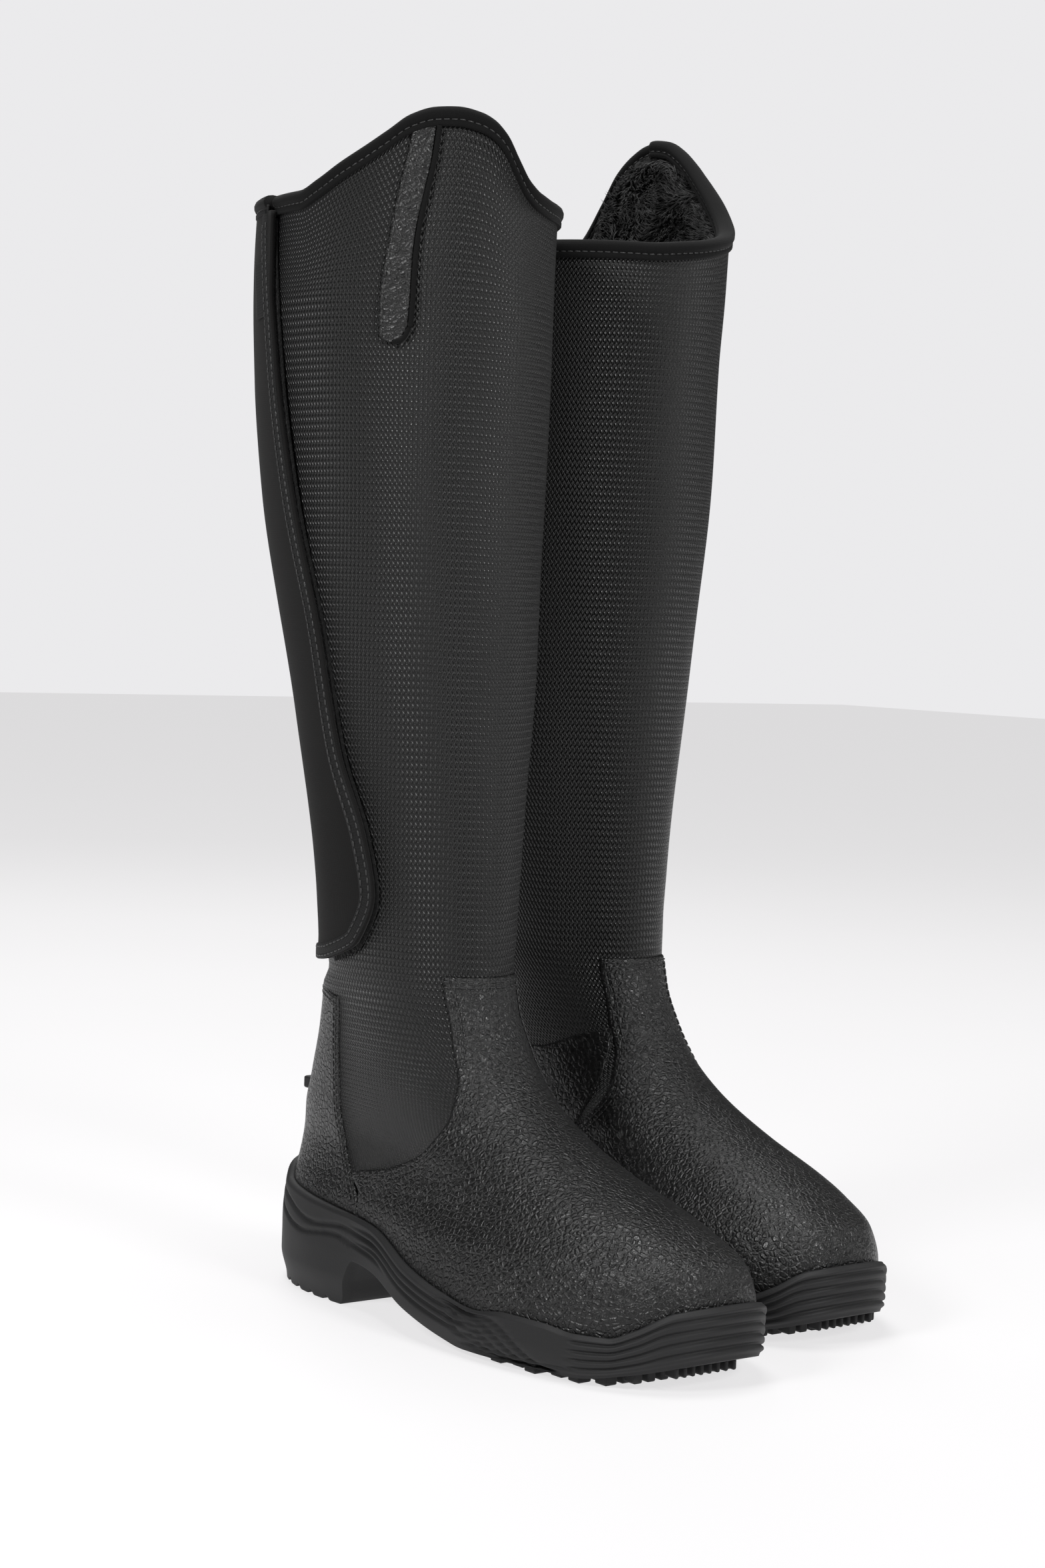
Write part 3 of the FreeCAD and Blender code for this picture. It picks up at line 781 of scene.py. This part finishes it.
# ------------------------------------------------------------------ stripe and piping
def stripe_turned(boot, x, z):
    """Tau of a stripe point given on the untwisted shaft, for this boot's arch."""
    tau = boot.tau_at(x, z)
    if not STRIPE_TURN[boot.side]:
        return tau
    px, pout = boot.section(tau, z, 0 * z)
    angle = np.arctan2(px - SHAFT_MIDDLE, pout) - math.radians(STRIPE_TURN[boot.side])
    guess = math.pi / 2 - angle
    for _ in range(6):
        gx, gout = boot.section(guess, z, 0 * z)
        guess = guess + (np.arctan2(gx - SHAFT_MIDDLE, gout) - angle)
    return guess


def stripe_outline(share):
    """Height, middle and half width of the stripe at a share of its length; its foot is round."""
    low = 424.0
    z = low + (RIM_HEIGHT + 30 - low) * share
    round_end = np.sqrt(np.clip(1 - (1 - np.clip((z - low) / 5.2, 0, 1)) ** 2, 0.0, 1))
    middle = (STRIPE_BACK(z) + STRIPE_FRONT(z)) / 2
    half = (STRIPE_FRONT(z) - STRIPE_BACK(z)) / 2 * round_end
    return z, middle, half


def top_stripe(boot):
    share = np.concatenate([[0.001, 0.004, 0.01, 0.02, 0.032, 0.046], np.linspace(0.06, 1, 44)])
    z, middle, half = stripe_outline(share)
    columns = fringe(9, 0.16)
    x = middle[:, None] + half[:, None] * (2 * columns[None] - 1)
    z = np.broadcast_to(z[:, None], x.shape)
    tau = stripe_turned(boot, x, z)
    tall = np.minimum(z, boot.rim(tau) - 3)
    edge = np.minimum(columns, 1 - columns)[None] * 2 * half[:, None] * 2
    points = boot.skin(tau, tall, -1.0 + edge_drop(edge, 2.0, 1.2))
    made = sheet_mesh(boot.side + "_top_stripe", points, 0.8, boot.skin(0.1, 480, 50))
    shell_piece(boot, made, "pebbled_leather", "leather", "top_stripe")


def tube(name, path, radius, sides=8):
    """A round cord along a path, closed at both ends."""
    tangent = unit(np.gradient(path, axis=0))
    side = unit(np.cross(tangent, np.array([0.3, 0.2, 0.9])))
    other = np.cross(tangent, side)
    turn = np.arange(sides) * 2 * math.pi / sides
    points = (path[:, None] + radius * MM * (np.cos(turn)[None, :, None] * side[:, None]
                                             + np.sin(turn)[None, :, None] * other[:, None]))
    faces = grid_faces(len(path), sides, wrap=True)
    faces.append(tuple(range(sides))[::-1])
    faces.append(tuple((len(path) - 1) * sides + j for j in range(sides)))
    made = new_object(name, points, faces)
    tidy_normals(made)
    return made


def stripe_piping(boot):
    share = np.linspace(0.0, 1, 90)
    z, middle, half = stripe_outline(share)
    tau = stripe_turned(boot, middle + half + 0.5, z)
    tall = np.minimum(z, boot.rim(tau) - 3)
    keep = np.append(np.diff(tall) > 0.01, True)
    path = boot.skin(tau[keep], tall[keep], -0.9)
    made = tube(boot.side + "_stripe_piping", path, 1.15)
    shell_piece(boot, made, "binding_neoprene", "binding", "stripe_piping")


# ------------------------------------------------------------------ stitching
def stitch_shape():
    """One stitch: a short capsule lying along X, 6 sides and 5 rings."""
    rings = [(-0.5, 0.25), (-0.42, 0.8), (0.0, 1.0), (0.42, 0.8), (0.5, 0.25)]
    turn = np.arange(6) * math.pi / 3
    points = [(x, r * math.cos(t), r * math.sin(t)) for x, r in rings for t in turn]
    faces = grid_faces(5, 6, wrap=True, flip=True)
    faces.append(tuple(range(6)))
    faces.append(tuple(24 + j for j in range(6))[::-1])
    return np.array(points), faces


def point_at(distance, along, values):
    """The vector at a distance along a row of vectors."""
    return np.array([np.interp(distance, along, values[:, axis]) for axis in range(3)])


def stitches(name, runs, length=2.6, pitch=3.5, radius=0.42):
    """Stitches along runs, each run being a path and its outward normals."""
    shape, shape_faces = stitch_shape()
    points, faces = [], []
    for path, normal in runs:
        along = running_length(path) / MM
        for at in np.arange(pitch / 2, along[-1], pitch):
            here, ahead, behind = (point_at(step, along, path) for step in (at, at + 0.6, at - 0.6))
            up = point_at(at, along, normal)
            direction = (ahead - behind) / np.linalg.norm(ahead - behind)
            up -= direction * (up @ direction)
            up /= np.linalg.norm(up)
            aside = np.cross(up, direction)
            placed = (here + shape[:, :1] * direction * length * MM
                      + shape[:, 1:2] * aside * radius * MM + shape[:, 2:] * up * radius * MM)
            faces += [tuple(v + len(points) * 30 for v in face) for face in shape_faces]
            points.append(placed)
    return new_object(name, np.concatenate(points), faces)


def along_surface(boot, tau, z, lift):
    """A path on the surface with its outward normals."""
    path = boot.skin(tau, z, -lift)
    round_wall = boot.skin(tau + 0.01, z, -lift) - path
    up_wall = boot.skin(tau, z + 0.5, -lift) - path
    normal = unit(np.cross(round_wall, up_wall))
    return path, facing(normal, path - boot.skin(tau, z, -lift + 3))


def shifted_along(boot, tau, z, aside, lift):
    """The path moved sideways over the surface by aside mm, towards growing tau."""
    path, normal = along_surface(boot, tau, z, lift)
    side = np.cross(normal, unit(np.gradient(path, axis=0)))
    toward = boot.skin(tau + 0.02, z, -lift) - path
    side *= np.sign((side * toward).sum())
    return path + side * aside * MM, normal


def boot_stitching(boot):
    runs = []
    z, low = np.linspace(60, 149, 120), np.linspace(50, 134, 100)
    for sign in (1, -1):
        tau = sign * boot.tau_at(VAMP_EDGE(z), z)
        for aside in (2.2, 4.6):
            runs.append(shifted_along(boot, tau, z, -sign * aside, 0.95))
        tau = sign * boot.tau_at(COUNTER_EDGE(low), low)
        for aside in (2.0, 4.2):
            runs.append(shifted_along(boot, tau, low, sign * aside, 0.75))
    tau = np.linspace(-1, 1, 90) * boot.tau_at(117.0, 151.0)
    for drop in (2.2, 4.6):
        runs.append(along_surface(boot, tau, np.full(90, VAMP_HIGH - drop), 0.95))
    start = boot.tau_at(57.0, 135.0)
    tau = np.linspace(start, 2 * math.pi - start, 90)
    x, outward = boot.section(tau, np.full(90, 138.0), np.zeros(90))
    for drop in (2.0, 4.2):
        runs.append(along_surface(boot, tau, COUNTER_TOP(x) - drop, 0.75))
    rim_tau = np.linspace(boot.tau_at(FLAP_EDGE(500) - 2.0, 500), -math.pi, 200)
    path, outward = rim_path(boot, rim_tau, 0.3)
    for out, normal in ((1.15, outward), (-5.35, -outward)):
        runs.append((path + outward * out * MM - np.array([0, 0, 1.55]) * MM, normal))
    share = np.linspace(0.03, 0.95, 80)
    zs, middle, half = stripe_outline(share)
    tau = stripe_turned(boot, middle - half, zs)
    tall = np.minimum(zs, boot.rim(tau) - 5)
    keep = np.append(np.diff(tall) > 0.01, False)
    runs.append(shifted_along(boot, tau[keep], tall[keep], -1.6, 1.0))
    made = stitches(boot.side + "_boot_stitching", runs)
    shell_piece(boot, made, "binding_neoprene", "thread")
    taped = []
    for back_off in (1.6, 5.6):
        path, normal, inward = edge_path(boot, FLAP_LOW + 2, 478, 300, back_off, 4.95)
        taped.append((path, normal))
    tau = np.linspace(boot.tau_at(FLAP_EDGE(500) - 4.0, 500), math.pi - 0.08, 60)
    path, outward = rim_path(boot, tau, 0.0)
    rise = (flap_lift(np.linspace(0, 1, 60)) + 0.6) * MM
    for out, normal in ((1.15, outward), (-5.35, -outward)):
        taped.append((path + outward * (rise[:, None] + out * MM)
                      - np.array([0, 0, 1.55]) * MM, normal))
    made = stitches(boot.side + "_flap_stitching", taped)
    flap_piece(boot, made, "binding_neoprene", "thread")


# ------------------------------------------------------------------ linings
def lining_sheet(boot, name, tau, z, inset, place_on=shell_piece):
    ripple = 0.7 * np.sin(tau * 23 + z / 3.1) * np.sin(z / 4.7 + tau * 5)
    points = boot.skin(tau, z, inset + ripple)
    made = sheet_mesh(boot.side + "_" + name, points, -1.2, boot.skin(0.1, 300, 50))
    place_on(boot, made, "pile", "pile", name)


def shaft_lining(boot):
    z_rows, shares = shaft_rows(146.0, 16)
    tau = shaft_columns(boot, z_rows, 116)
    z = z_rows[:, None] + (boot.rim(tau) - 3 - LEVEL_ROWS_END) * shares[:, None]
    lining_sheet(boot, "shaft_lining", tau, z, 4.2)


def flap_lining(boot):
    tau, z, _ = flap_grid(boot, 90, np.linspace(0, 1, 30), FLAP_OVERLAP + 1.5, FLAP_LOW + 9)
    lining_sheet(boot, "flap_lining", tau, z, 3.2, place_on=flap_piece)


def foot_lining(boot):
    z_rows = even_heights(FRONT, 22, 149, 70)
    tau = np.linspace(-math.pi, math.pi, 80)[None] + 0 * z_rows[:, None]
    z = z_rows[:, None] + 0 * tau
    x = boot.section(tau, z, 0 * z)[0]
    z = np.maximum(z, LINING_FLOOR(x) + (z - 22) * 0.02)
    lining_sheet(boot, "foot_lining", tau, z, 4.0)


def footbed(boot):
    """The soft insole: a thin pad that follows the floor of the boot, a little dished."""
    reach = np.linspace(0, 1, 22)
    tau = np.linspace(-math.pi, math.pi, 90)
    x, outward = boot.section(tau, np.full(90, 30.0), np.full(90, 7.0))
    xs = 140 + (x[None] - 140) * reach[:, None]
    outs = outward[None] * reach[:, None]
    rise = 0.8 * reach[:, None] ** 4
    points = boot.place(xs, outs, FOOTBED_TOP(xs) + rise)
    made = new_object(boot.side + "_footbed", points, grid_faces(22, 90, flip=boot.sign > 0))
    apply_modifier(made, "WELD", merge_threshold=0.00002)
    apply_modifier(made, "SOLIDIFY", thickness=0.0035, offset=-1.0)
    tidy_normals(made)
    shell_piece(boot, made, "footbed_foam", "pile", "footbed")


def pile_tufts(boot, name, tau, z, inset, seed, place_on=shell_piece):
    """Short curved tufts of pile standing on the lining, each a bent three-sided spike."""
    chance = np.random.default_rng(seed)
    count = tau.size
    root = boot.skin(tau, z, inset)
    inward = unit(boot.skin(tau, z, inset + 3) - root)
    swirl = np.sin(z / 6.0 + tau * 9) * 1.6 + np.sin(z / 11.0 - tau * 6) * 1.3
    around = unit(boot.skin(tau + 0.01, z, inset) - root)
    up = facing(np.cross(inward, around), np.array([0, 0, 1.0]))
    lean = (around * np.cos(swirl + chance.normal(0, 0.6, count))[:, None]
            + up * np.sin(swirl + chance.normal(0, 0.6, count))[:, None])
    length = chance.uniform(3.6, 6.4, count)[:, None] * MM
    bend = chance.uniform(0.5, 1.1, count)[:, None]
    middle = root + inward * length * 0.55 + lean * length * 0.25 * bend
    tip = root + inward * length * 0.85 + lean * length * 0.75 * bend
    side = unit(np.cross(inward, lean))
    other = np.cross(side, inward)
    rings = []
    for centre, wide in ((root, 0.42 * MM), (middle, 0.34 * MM)):
        corners = [centre + wide * (math.cos(turn) * side + math.sin(turn) * other)
                   for turn in np.arange(3) * 2 * math.pi / 3]
        rings.append(np.stack(corners, 1))
    points = np.concatenate([rings[0], rings[1], tip[:, None]], 1)
    one = [(0, 1, 4, 3), (1, 2, 5, 4), (2, 0, 3, 5), (3, 4, 6), (4, 5, 6), (5, 3, 6)]
    faces = [tuple(v + 7 * k for v in face) for k in range(count) for face in one]
    made = new_object(boot.side + "_" + name, points, faces)
    place_on(boot, made, "pile", "hair")


def lining_tufts(boot):
    chance = np.random.default_rng(7 if boot.side == "right" else 8)
    count = 26000
    start = boot.tau_at(FLAP_EDGE(480.0) - FLAP_OVERLAP, 480.0)
    tau = chance.uniform(-math.pi, start, count)
    top = boot.rim(tau) - 6
    depth = chance.uniform(0, 1, count) ** 1.15
    z = top - depth * 88
    pile_tufts(boot, "lining_tufts", tau, z, 4.0, 21)
    tau = chance.uniform(start + 0.03, math.pi - 0.03, 6000)
    z = boot.rim(tau) - 6 - chance.uniform(0, 1, 6000) * 70
    pile_tufts(boot, "flap_tufts", tau, z, 3.0, 22, place_on=flap_piece)


# ------------------------------------------------------------------ sole
TREAD_LINE = smooth([(-20, 0), (73.5, 0), (74.5, 1), (79, 11), (86, 21.5), (104, 20), (138, 11.5),
                     (164, 5), (178, 2.8), (240, 2.8), (262, 7), (300, 18.5)])


TOE_BUMPER = 1.0


def heel_notches(x):
    """How far the heel's lower edge rises in its cross channels."""
    return sum(2.2 * np.exp(-((x - at) / 1.5) ** 2) for at in (11, 24, 37, 50, 63))


def groove(height, centre, width, deep):
    return deep * np.exp(-((height - centre) / width) ** 2)


def wall_relief(x, z):
    """How far the grooves of the sole's side wall cut in, from x and height."""
    top = WALL_TOP(x)
    low = TREAD_LINE(x)
    relief = 0 * x
    line = (z - low) / np.maximum(top - low, 1)
    waves = smoothstep(x, -30, 10) * (1 - smoothstep(x, 96, 120))
    for k in range(2):
        centre = top - 8 - 5.5 * k + 2.2 * np.sin(x / 11.0 + 0.9 * k) * (1 - smoothstep(x, 70, 100))
        relief = relief + groove(z, centre, 0.8, 1.5) * waves * (z > low + 2)
    arch = smoothstep(x, 84, 104) * (1 - smoothstep(x, 168, 186))
    for k in range(3):
        relief = relief + groove(z, top - 4.2 - 3.4 * k, 0.7, 1.4) * arch
    ball = smoothstep(x, 160, 176) * (1 - smoothstep(x, 222, 236))
    for k in range(5):
        start = 168 + 9 * k
        curve = top - 2 - (top - low - 3) * smoothstep(x, start - 14, start + 26)
        relief = relief + groove(z, curve, 0.8, 1.4) * ball
    toe = smoothstep(x, 236, 240)
    for k in range(4):
        relief = relief + groove(line, 0.84 - 0.2 * k, 0.04, 1.3) * toe
    relief = relief - TOE_BUMPER * toe * smoothstep(line, 0.06, 0.14)
    band = smoothstep(x, 178, 200)
    relief = relief + groove(z, low + 3.4, 0.5, 0.7) * band * (1 - toe)
    return relief


def sole_columns(boot):
    """Tau over one side, closer together in the rear half and at the heel's front face, and then
    round the whole sole."""
    even = np.concatenate([np.linspace(0, 0.5, 50), np.linspace(0.5, 1, 170)[1:]])
    order = np.interp(np.linspace(0, 1, 230), np.linspace(0, 1, len(even)), even)
    marks = boot.tau_at(np.array([73.6, 74.4, 75.2, 76.5, 78, 80, 82.5]), np.full(7, 30.0))
    half = np.unique(np.round(np.concatenate([order * math.pi, marks]), 5))
    return half, np.concatenate([half, -half[-2:0:-1]])


def sole_wall(boot, tau):
    """The grooved side wall from the tread up, then the lip and a row inside the cup."""
    x_low = boot.section(tau, np.full(len(tau), 24.0), np.full(len(tau), -SOLE_PROUD))[0]
    low, top = TREAD_LINE(x_low) + heel_notches(x_low), WALL_TOP(x_low)
    z = low + (top - low) * np.linspace(0, 1, 52)[:, None]
    taper = 3.0 * (1 - smoothstep(z, 0, 14))
    round_top = 1.6 * smoothstep(z, top - 1.6, top)
    relief = wall_relief(np.broadcast_to(x_low, z.shape), z)
    wall = boot.skin(tau, np.clip(z, 24, 60), -SOLE_PROUD + taper + round_top + relief, level=z)
    lip = boot.skin(tau, np.clip(top, 24, 60), 0.6, level=top - 0.4)
    inner = boot.skin(tau, np.clip(top - 8, 20, 60), 1.0, level=top - 8)
    return np.concatenate([wall, lip[None], inner[None]], 0)


def without_repeats(corners):
    return tuple(dict.fromkeys(int(v) for v in corners))


def sole_bottom(edge, stations, first_free, strips=12):
    """Points and faces of the tread: a row across from the outer to the inner side at each
    station from toe to heel. edge is the wall's lowest row; new points are numbered on."""
    columns = len(edge)
    points, faces = [], []
    rows = np.zeros((stations, strips + 1), int)
    for j in range(stations):
        outer, inside = j, (columns - j) % columns
        rows[j] = outer
        if j in (0, stations - 1):
            continue
        rows[j, -1] = inside
        for k in range(1, strips):
            share = k / strips
            rows[j, k] = first_free + len(points)
            points.append(edge[outer] * (1 - share) + edge[inside] * share)
    for j in range(stations - 1):
        for k in range(strips):
            faces.append(without_repeats((rows[j, k], rows[j, k + 1], rows[j + 1, k + 1],
                                          rows[j + 1, k])))
    return points, [face for face in faces if len(face) > 2]


def sole_unit(boot):
    """The moulded sole: grooved side wall, cupped top lip, heel block, arch and forefoot base."""
    half, tau = sole_columns(boot)
    wall = sole_wall(boot, tau)
    rows, columns = wall.shape[:2]
    stations = len(half)
    faces = grid_faces(rows, columns, wrap=True)
    points, tread = sole_bottom(wall[0], stations, rows * columns)
    faces += tread
    ring = (rows - 1) * columns
    for j in range(stations - 1):
        face = without_repeats((ring + j + 1, ring + j, ring + (columns - j) % columns,
                                ring + (columns - j - 1) % columns))
        if len(face) > 2:
            faces.append(face)
    made = new_object(boot.side + "_sole_unit", list(wall.reshape(-1, 3)) + points, faces)
    tidy_normals(made)
    shell_piece(boot, made, "sole_rubber", "rubber", "sole_unit")


def lug(name, centre, size, bevel=0.8):
    """A bevelled block; a tread block has its top sunk into the sole."""
    bpy.ops.object.select_all(action="DESELECT")
    bpy.ops.mesh.primitive_cube_add(size=1)
    made = bpy.context.active_object
    made.name = name
    made.scale = size
    made.location = centre
    bpy.ops.object.transform_apply(location=True, rotation=True, scale=True)
    bpy.ops.object.mode_set(mode="EDIT")
    bpy.ops.mesh.select_all(action="SELECT")
    bpy.ops.mesh.bevel(offset=bevel * MM, segments=2, affect="EDGES")
    bpy.ops.object.mode_set(mode="OBJECT")
    return made


def tread_blocks(boot):
    """Staggered blocks under the forefoot, set in from its edge."""
    rows, tall, below, gap = 8, 4.8, 2.8, 2.6
    stations = [180, 215, 250, 272]
    blocks = []
    for column in range(9):
        x = 183 + 10.5 * column
        reach_out = float(np.interp(x, stations, [45, 45, 38, 17]))
        reach_in = float(np.interp(x, stations, [39, 41, 31, 9]))
        pitch = (reach_in + reach_out) / rows
        for line in range(rows):
            outward = -reach_in + pitch * (line + 0.38 + (column % 2) * 0.25)
            centre = boot.place(x, outward, float(TREAD_LINE(x)) - below + tall / 2)
            blocks.append(lug("tread", tuple(centre), (7.2 * MM, (pitch - gap) * MM, tall * MM)))
    bpy.ops.object.select_all(action="DESELECT")
    for block in blocks:
        block.select_set(True)
    bpy.context.view_layer.objects.active = blocks[0]
    bpy.ops.object.join()
    made = blocks[0]
    made.name = boot.side + "_tread_blocks"
    shell_piece(boot, made, "sole_rubber", "rubber")


def spur_rest(boot):
    """The spur rest: a small moulded block with a worn, rounded outline."""
    low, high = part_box(boot.side + "_spur_rest")
    middle, extent = (low + high) / 2, high - low
    made = lug(boot.side + "_spur_rest", middle, (extent.x * 1.1, extent.y, extent.z * 0.95), 1.0)
    shell_piece(boot, made, "sole_rubber", "rubber", "spur_rest")


# ------------------------------------------------------------------ the two boots
def dress_hidden_nodes(boot):
    for name, key in (("shank", "steel"), ("insole_board", "board"), ("toe_puff", "board"),
                      ("heel_stiffener", "board")):
        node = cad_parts[boot.side + "_" + name]
        node.data.materials.clear()
        node.data.materials.append(FINISH[key])


for side in ("right", "left"):
    boot = Boot(side)
    dress_hidden_nodes(boot)
    shaft_cloth(boot)
    vamp(boot)
    heel_counter(boot)
    ankle_guard(boot)
    top_binding(boot)
    calf_flap(boot)
    flap_tape(boot)
    flap_binding(boot)
    closure_strips(boot)
    label(boot)
    top_stripe(boot)
    stripe_piping(boot)
    boot_stitching(boot)
    shaft_lining(boot)
    flap_lining(boot)
    foot_lining(boot)
    footbed(boot)
    lining_tufts(boot)
    sole_unit(boot)
    tread_blocks(boot)
    spur_rest(boot)


# ------------------------------------------------------------------ floor, light and camera
FLOOR_GLOW = 0.7


def studio_floor():
    bpy.ops.object.select_all(action="DESELECT")
    bpy.ops.mesh.primitive_plane_add(size=14, location=(0, 0, 0))
    floor = bpy.context.active_object
    floor.name = "studio_floor"
    s = Shader("studio_floor", 0.6, specular=0.2)
    s.colour(s.mix(s.noise(3.0, 2.0), grey(0.22), grey(0.24)))
    s.surface.inputs["Emission Color"].default_value = (1.0, 0.99, 1.0, 1)
    s.surface.inputs["Emission Strength"].default_value = FLOOR_GLOW
    floor.data.materials.append(s.material)


def soft_light(name, location, target, wide, power):
    bpy.ops.object.select_all(action="DESELECT")
    bpy.ops.object.light_add(type="AREA", location=location)
    light = bpy.context.active_object
    light.name = name
    light.data.shape = "DISK"
    light.data.size = wide
    light.data.energy = power
    aim = Vector(target) - Vector(location)
    light.rotation_euler = aim.to_track_quat("-Z", "Y").to_euler()


def plain_world(ambient, seen):
    """A pale world that is dimmer as a light than it looks behind the boots."""
    world = bpy.data.worlds.new("studio")
    world.use_nodes = True
    nodes, links = world.node_tree.nodes, world.node_tree.links
    dim, pale = nodes["Background"], nodes.new("ShaderNodeBackground")
    for background, strength in ((dim, ambient), (pale, seen)):
        background.inputs["Color"].default_value = (0.99, 0.985, 1.0, 1)
        background.inputs["Strength"].default_value = strength
    path, mix = nodes.new("ShaderNodeLightPath"), nodes.new("ShaderNodeMixShader")
    links.new(path.outputs["Is Camera Ray"], mix.inputs[0])
    links.new(dim.outputs[0], mix.inputs[1])
    links.new(pale.outputs[0], mix.inputs[2])
    links.new(mix.outputs[0], nodes["World Output"].inputs["Surface"])
    bpy.context.scene.world = world


def camera_view():
    azimuth, elevation, roll = (math.radians(a) for a in (51.5, 3.3, 2.23))
    distance = 1.345
    target = Vector((0.0231, -0.0528, 0.2365))
    back = Vector((math.sin(azimuth) * math.cos(elevation),
                   -math.cos(azimuth) * math.cos(elevation), math.sin(elevation)))
    right = (-back).cross(Vector((0, 0, 1))).normalized()
    up = right.cross(-back)
    tilted_right = math.cos(roll) * right + math.sin(roll) * up
    tilted_up = -math.sin(roll) * right + math.cos(roll) * up
    bpy.ops.object.camera_add()
    camera = bpy.context.active_object
    place = Matrix((tilted_right, tilted_up, back)).transposed().to_4x4()
    place.translation = target + distance * back
    camera.matrix_world = place
    camera.data.sensor_fit = "VERTICAL"
    camera.data.sensor_height = 36.0
    camera.data.lens = 71.0
    bpy.context.scene.camera = camera


studio_floor()
soft_light("key_light", (0.25, -1.9, 1.5), (0, 0, 0.25), 0.6, 30)
soft_light("top_light", (-0.2, -0.1, 2.4), (0, 0, 0.2), 1.0, 30)
soft_light("front_light", (1.9, 0.1, 1.3), (0, 0, 0.2), 0.6, 24)
soft_light("back_light", (-1.5, 0.6, 1.4), (0, 0, 0.3), 1.2, 10)
soft_light("side_light", (0.4, 1.9, 1.2), (0, 0, 0.3), 1.2, 6)
plain_world(0.05, 0.84)
bpy.context.scene.view_settings.view_transform = "Standard"
camera_view()
